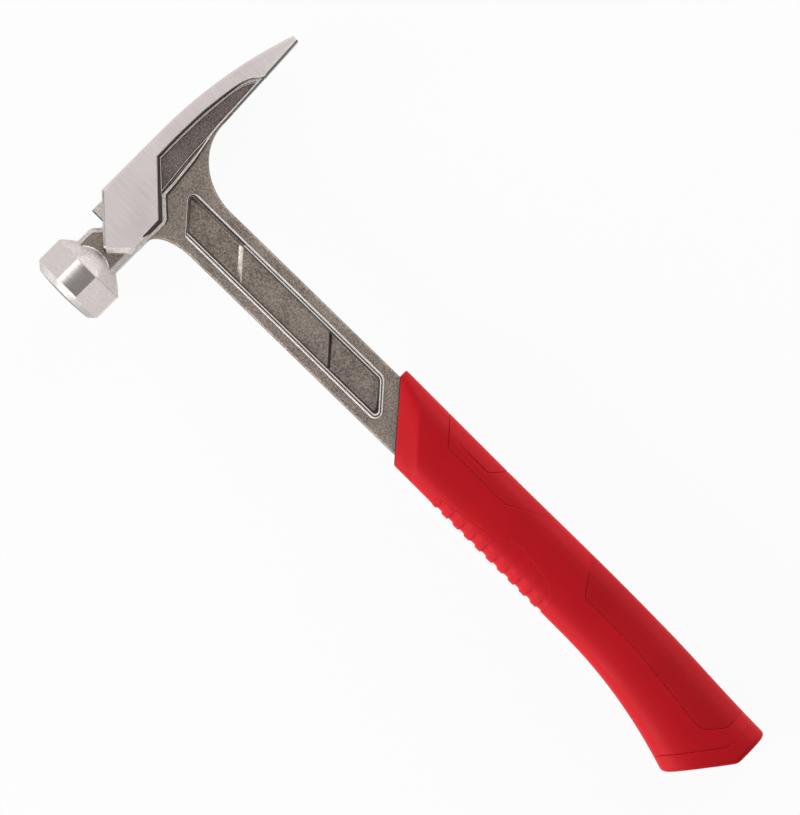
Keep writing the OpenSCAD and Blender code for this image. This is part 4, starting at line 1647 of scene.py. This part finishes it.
    def score(self, sheet: bmesh.types.BMesh, name: str, outline: Loop) -> None:
        """Cuts lines into the sheet along an outline, for a groove on it.

        Args:
            sheet: The grip's surface.
            name: Name of the layer that keeps the distance to the outline.
            outline: The outline.
        """
        layer = sheet.verts.layers.float.new(name)
        points = np.array([v.co for v in sheet.verts])
        for vert, away in zip(sheet.verts, outside_by(points, outline)):
            vert[layer] = away
        self.refine(sheet, name, outline)
        held: set[bmesh.types.BMVert] = set()
        for share in (0.0, -1.0, 1.0, -self.seam_knee, self.seam_knee):
            # Layers keep single precision, so the level is rounded as they are
            level = float(np.float32(self.seam_half * share))
            hits = self.snap(sheet, name, level, held)
            for edge in list(sheet.edges):
                a, b = edge.verts
                low, high = a[layer] - level, b[layer] - level
                if low * high < 0.0:
                    _, vert = bmesh.utils.edge_split(edge, a, low / (low - high))
                    vert[layer] = level
                    hits.add(vert)
            bmesh.ops.connect_verts(sheet, verts=list(hits))
            touched = {face for vert in hits for face in vert.link_faces if len(face.verts) > 3}
            bmesh.ops.triangulate(sheet, faces=list(touched))
            held |= hits

    def snap(self, sheet: bmesh.types.BMesh, name: str, level: float,
             held: set[bmesh.types.BMVert]) -> set[bmesh.types.BMVert]:
        """Moves points that lie close beside a line on to it, so that no slivers arise.

        Args:
            sheet: The grip's surface.
            name: Name of the layer that keeps the distance to the outline.
            level: Distance of the line from the outline.
            held: Points that lie on other lines and stay.

        Returns:
            The points that lie on the line now.
        """
        floats = sheet.verts.layers.float
        layer = floats[name]
        others = [floats[key] for key in floats.keys()]
        best: dict[bmesh.types.BMVert, tuple[float, bmesh.types.BMVert]] = {}
        for edge in sheet.edges:
            for a, b in (edge.verts, reversed(edge.verts)):
                low, high = a[layer] - level, b[layer] - level
                if low * high >= 0.0 or a in held:
                    continue
                share = low / (low - high)
                if share < self.snap_share and share < best.get(a, (1.0, a))[0]:
                    best[a] = (share, b)
        for vert, (share, goal) in best.items():
            if goal in best and best[goal][0] < share:
                continue
            vert.co = vert.co.lerp(goal.co, share)
            for other in others:
                vert[other] += (goal[other] - vert[other]) * share
            vert[layer] = level
        return {vert for vert in sheet.verts if vert[layer] == level}

    def carve(self, sheet: bmesh.types.BMesh, depths: dict[str, float]) -> None:
        """Presses the seams into the sheet and shapes the finger ribs.

        Args:
            sheet: The grip's surface, already scored.
            depths: Depth of each line, by the layer with the distance to it.
        """
        floats = sheet.verts.layers.float
        layers = [(floats[name], depth) for name, depth in depths.items()]
        station, front, finger = floats["station"], floats["front"], floats[Shell.FINGER.name]
        # Where each line runs out: its layer, the axis along which it fades, and how
        fades = ((floats[Shell.THUMB.name], 0, self.thumb_fade),
                 (floats["thumb_groove"], 0, self.groove_fade),
                 (floats[Shell.PALM.name], 1, self.palm_fade))
        shape = ((0.0, self.seam_knee, 1.0), (1.0, self.seam_knee_share, 0.0))
        sheet.normal_update()
        moves = []
        for vert in sheet.verts:
            sink = max(depth * np.interp(abs(vert[layer]) / self.seam_half, *shape)
                       for layer, depth in layers)
            for layer, axis, fade in fades:
                if abs(vert[layer]) <= self.seam_half:
                    sink *= fade.at(vert.co[axis])
            seam = np.interp(abs(vert[station] - self.cap_start) / self.seam_half, *shape)
            sink = max(sink, self.seam_depth * seam * self.cap_fade.at(vert.co.y))
            phase = (vert.co.x - self.rib_first) / self.rib_pitch
            nearest = min(max(round(phase), 0), self.rib_count - 1)
            past = (phase - nearest) * self.rib_pitch
            bar = 1 - eased((abs(past) - self.rib_half) / self.rib_edges[int(past > 0.0)])
            rib = (self.rib_proud + self.rib_sunk) * bar - self.rib_sunk
            rib *= self.rib_wall.at(-vert[finger]) * self.rib_wrap.at(vert[front])
            rib *= self.rib_fade.at(vert[front])
            moves.append(vert.normal * float(rib - sink))
        for vert, move in zip(sheet.verts, moves):
            vert.co += move

    def sort(self, sheet: bmesh.types.BMesh) -> dict[Shell, list[bmesh.types.BMFace]]:
        """Sorts the sheet's faces to the pieces that they belong to.

        Args:
            sheet: The grip's surface.

        Returns:
            The faces of each piece.
        """
        floats = sheet.verts.layers.float
        station = floats["station"]
        sorted_faces: dict[Shell, list[bmesh.types.BMFace]] = {shell: [] for shell in Shell}
        for face in sheet.faces:
            verts = face.verts
            owner = Shell.SLEEVE
            if sum(v[station] for v in verts) / len(verts) > self.cap_start:
                owner = Shell.CAP
            for shell in (Shell.FINGER, Shell.THUMB, Shell.PALM):
                if sum(v[floats[shell.name]] for v in verts) < 0.0:
                    owner = shell
            sorted_faces[owner].append(face)
        return sorted_faces

    def painted_shadow_faces(self, sheet: bmesh.types.BMesh, faces: Sequence[bmesh.types.BMFace]) -> list[bool]:
        """Finds the collar's first band, given the dark core finish as a painted shadow line beside the
        shank.

        Args:
            sheet: The grip's surface.
            faces: The sleeve's faces.

        Returns:
            True for each face of the lip.
        """
        station, end = sheet.verts.layers.float["station"], self.start + self.painted_shadow_len
        return [sum(v[station] for v in face.verts) < end * len(face.verts)
                and max(v.co.y for v in face.verts) < self.collar_turn for face in faces]

    def piece(self, sheet: bmesh.types.BMesh, shell: Shell,
              faces: Sequence[bmesh.types.BMFace]) -> bpy.types.Object:
        """Makes one moulded piece from its faces, with a wall behind them.

        Args:
            sheet: The grip's surface.
            shell: Which piece it is.
            faces: Its faces on the grip's surface.

        Returns:
            The piece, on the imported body.
        """
        node, name, slot, finish = shell.value
        places: dict[bmesh.types.BMVert, int] = {}
        corners = [[places.setdefault(v, len(places)) for v in face.verts] for face in faces]
        piece = link_mesh(name, np.array([v.co for v in places]), corners)
        piece.data.materials.append(MATERIALS[finish])
        # The collar's first band takes the dark core finish: a painted shadow line where the grip meets the
        # shank
        if shell is Shell.SLEEVE:
            piece.data.materials.append(MATERIALS[Finish.CORE])
            piece.data.polygons.foreach_set("material_index", np.array(self.painted_shadow_faces(sheet, faces), np.int32))
        piece.data.shade_smooth()
        piece.data.set_sharp_from_angle(angle=math.radians(self.sharp_degrees))
        wall = piece.modifiers.new("wall", "SOLIDIFY")
        wall.thickness = self.wall * METRES_PER_MM
        wall.offset = -1.0
        settle(piece, slot, node)
        return piece

    def build(self) -> list[bpy.types.Object]:
        """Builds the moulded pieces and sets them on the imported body.

        Returns:
            The pieces.
        """
        sheet = self.form()
        lines = {shell.name: outline for shell, outline in self.outlines().items()}
        lines["thumb_groove"] = self.thumb_groove()
        for name, outline in lines.items():
            self.score(sheet, name, outline)
        self.carve(sheet, dict(zip(lines, self.line_depths)))
        pieces = [self.piece(sheet, shell, faces) for shell, faces in self.sort(sheet).items()]
        sheet.free()
        return pieces


def dress_node(node: str, finish: Finish) -> None:
    """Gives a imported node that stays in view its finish.

    Args:
        node: Name of the node.
        finish: The finish.
    """
    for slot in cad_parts[node].material_slots:
        slot.material = MATERIALS[finish]
    LOG.info("%s keeps its solid, in %s", node, finish.value)


# Studio


@dataclass(frozen=True)
class Lamp:
    """A soft box: where it hangs, what it points at, its size and its power in watts."""

    name: str
    place: tuple[float, float, float]
    aim: tuple[float, float, float]
    size: tuple[float, float]
    power: float

    def build(self) -> bpy.types.Object:
        """Hangs the lamp.

        Returns:
            The lamp.
        """
        light = bpy.data.lights.new(self.name, "AREA")
        light.shape = "RECTANGLE"
        light.size, light.size_y = self.size
        light.energy = self.power
        lamp = bpy.data.objects.new(self.name, light)
        lamp.location = self.place
        lamp.rotation_euler = (Vector(self.aim) - Vector(self.place)).to_track_quat("-Z", "Y").to_euler()
        lamp.visible_camera = False
        bpy.context.scene.collection.objects.link(lamp)
        return lamp


@dataclass
class Studio:
    """Camera straight above the hammer, white floor and soft light from all round."""

    distance: float = 3.0
    view_height: float = 0.3635
    view_middle: tuple[float, float, float] = (-0.02798, -0.00603, 0.0184)
    turn: float = 45.0
    room_light: float = 0.25
    floor_half: float = 6.0
    floor_white: float = 0.94
    floor_tone: float = 0.95
    card_grey: float = 0.3
    card_height: float = 1.2
    card_x: tuple[float, float] = (-0.345, 0.05)
    card_y: tuple[float, float] = (-0.28, 0.14)
    lamps: tuple[Lamp, ...] = (
        Lamp("front_box", (-0.35, -1.1, 0.36), (0.0, 0.0, 0.02), (1.8, 0.6), 17.0),
        Lamp("back_box", (-0.35, 1.1, 0.4), (0.0, 0.0, 0.02), (1.8, 0.6), 11.0),
        Lamp("strip_box", (-0.405, -0.07, 1.2), (-0.405, -0.07, 0.0), (0.11, 0.5), 0.3),
    )

    def white_share(self, sheet: Sheet) -> bpy.types.NodeSocket:
        """Finds the rays that see the plain white background.

        Args:
            sheet: The sheet to place the nodes on.

        Returns:
            1 for camera, glossy and transmission rays, 0 for others.
        """
        path = sheet.place("ShaderNodeLightPath")
        total = path.outputs["Is Camera Ray"]
        for name in ("Is Glossy Ray", "Is Transmission Ray"):
            most = sheet.place("ShaderNodeMath", operation="MAXIMUM")
            sheet.feed(most, 0, total)
            sheet.feed(most, 1, path.outputs[name])
            total = most.outputs[0]
        return total

    def world(self) -> None:
        """Fills the room with soft light, and with white where it is seen."""
        world = bpy.data.worlds.new("studio")
        world.use_nodes = True
        sheet = Sheet(world.node_tree)
        mix = sheet.place("ShaderNodeMixShader")
        sheet.feed(mix, 0, self.white_share(sheet))
        for place, strength in ((1, self.room_light), (2, 1.0)):
            room = sheet.place("ShaderNodeBackground")
            sheet.feed(room, "Color", (1.0, 1.0, 1.0, 1.0))
            sheet.feed(room, "Strength", strength)
            sheet.feed(mix, place, room.outputs[0])
        sheet.feed(sheet.place("ShaderNodeOutputWorld"), "Surface", mix.outputs[0])
        bpy.context.scene.world = world

    def floor(self) -> bpy.types.Object:
        """Lays the white floor, which keeps a soft shadow.

        Returns:
            The floor.
        """
        material = bpy.data.materials.new("white_floor")
        material.use_nodes = True
        sheet = Sheet(material.node_tree)
        share = sheet.place("ShaderNodeMath", operation="MULTIPLY")
        sheet.feed(share, 0, self.white_share(sheet))
        sheet.feed(share, 1, self.floor_white)
        matt = sheet.place("ShaderNodeBsdfDiffuse")
        sheet.feed(matt, "Color", (self.floor_tone, self.floor_tone, self.floor_tone, 1.0))
        glow = sheet.place("ShaderNodeEmission")
        mix = sheet.place("ShaderNodeMixShader")
        for place, source in ((0, share.outputs[0]), (1, matt.outputs[0]), (2, glow.outputs[0])):
            sheet.feed(mix, place, source)
        sheet.feed(sheet.place("ShaderNodeOutputMaterial"), "Surface", mix.outputs[0])
        half = self.floor_half
        return self.backdrop("floor", (-half, half), (-half, half), 0.0, material)

    def card(self) -> bpy.types.Object:
        """Hangs a grey card beside the camera, which only polished steel reflects.

        Returns:
            The card.
        """
        material = bpy.data.materials.new("grey_card")
        material.use_nodes = True
        sheet = Sheet(material.node_tree)
        glow = sheet.place("ShaderNodeEmission")
        sheet.feed(glow, "Strength", self.card_grey)
        sheet.feed(sheet.place("ShaderNodeOutputMaterial"), "Surface", glow.outputs[0])
        card = self.backdrop("grey_card", self.card_x, self.card_y, self.card_height, material)
        card.visible_camera = False
        card.visible_diffuse = False
        card.visible_shadow = False
        card.visible_transmission = False
        return card

    def backdrop(self, name: str, x: tuple[float, float], y: tuple[float, float], z: float,
                 material: bpy.types.Material) -> bpy.types.Object:
        """Makes a level sheet of the studio.

        Args:
            name: Name of the sheet.
            x: Its two ends along x.
            y: Its two ends along y.
            z: Its height.
            material: Its material.

        Returns:
            The sheet, marked as no part of the hammer.
        """
        mesh = bpy.data.meshes.new(name)
        mesh.from_pydata([(x[0], y[0], z), (x[1], y[0], z), (x[1], y[1], z), (x[0], y[1], z)], [],
                         [(0, 1, 2, 3)])
        mesh.materials.append(material)
        sheet = bpy.data.objects.new(name, mesh)
        bpy.context.scene.collection.objects.link(sheet)
        sheet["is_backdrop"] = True
        return sheet

    def camera(self) -> bpy.types.Object:
        """Sets the camera over the hammer, turned as in the photograph.

        Returns:
            The camera.
        """
        lens = bpy.data.cameras.new("camera")
        lens.sensor_fit = "HORIZONTAL"
        view_width = self.view_height * IMAGE_WIDTH / IMAGE_HEIGHT
        lens.lens = lens.sensor_width * self.distance / view_width
        camera = bpy.data.objects.new("camera", lens)
        x, y, z = self.view_middle
        camera.location = (x, y, z + self.distance)
        camera.rotation_euler = (0.0, 0.0, math.radians(self.turn))
        bpy.context.scene.collection.objects.link(camera)
        bpy.context.scene.camera = camera
        return camera

    def build(self) -> None:
        """Sets up light, floor and camera."""
        self.world()
        self.floor()
        self.card()
        for lamp in self.lamps:
            lamp.build()
        self.camera()
        bpy.context.scene.view_settings.view_transform = "Standard"


def write_sizes() -> None:
    boxes = {"cad": CAD_BOX, "visual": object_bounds()}
    {name: [list(corner) for corner in box] for name, box in boxes.items()}


def main() -> None:
    """Builds the studio, the forging and the grip."""
    logging.basicConfig(level=logging.INFO, format="%(name)s: %(message)s")
    Studio().build()
    Forging().build()
    dress_node("nail_magnet", Finish.MAGNET)
    dress_node("grip_core", Finish.CORE)
    Grip().build()
    write_sizes()


if __name__ == "__main__":
    main()
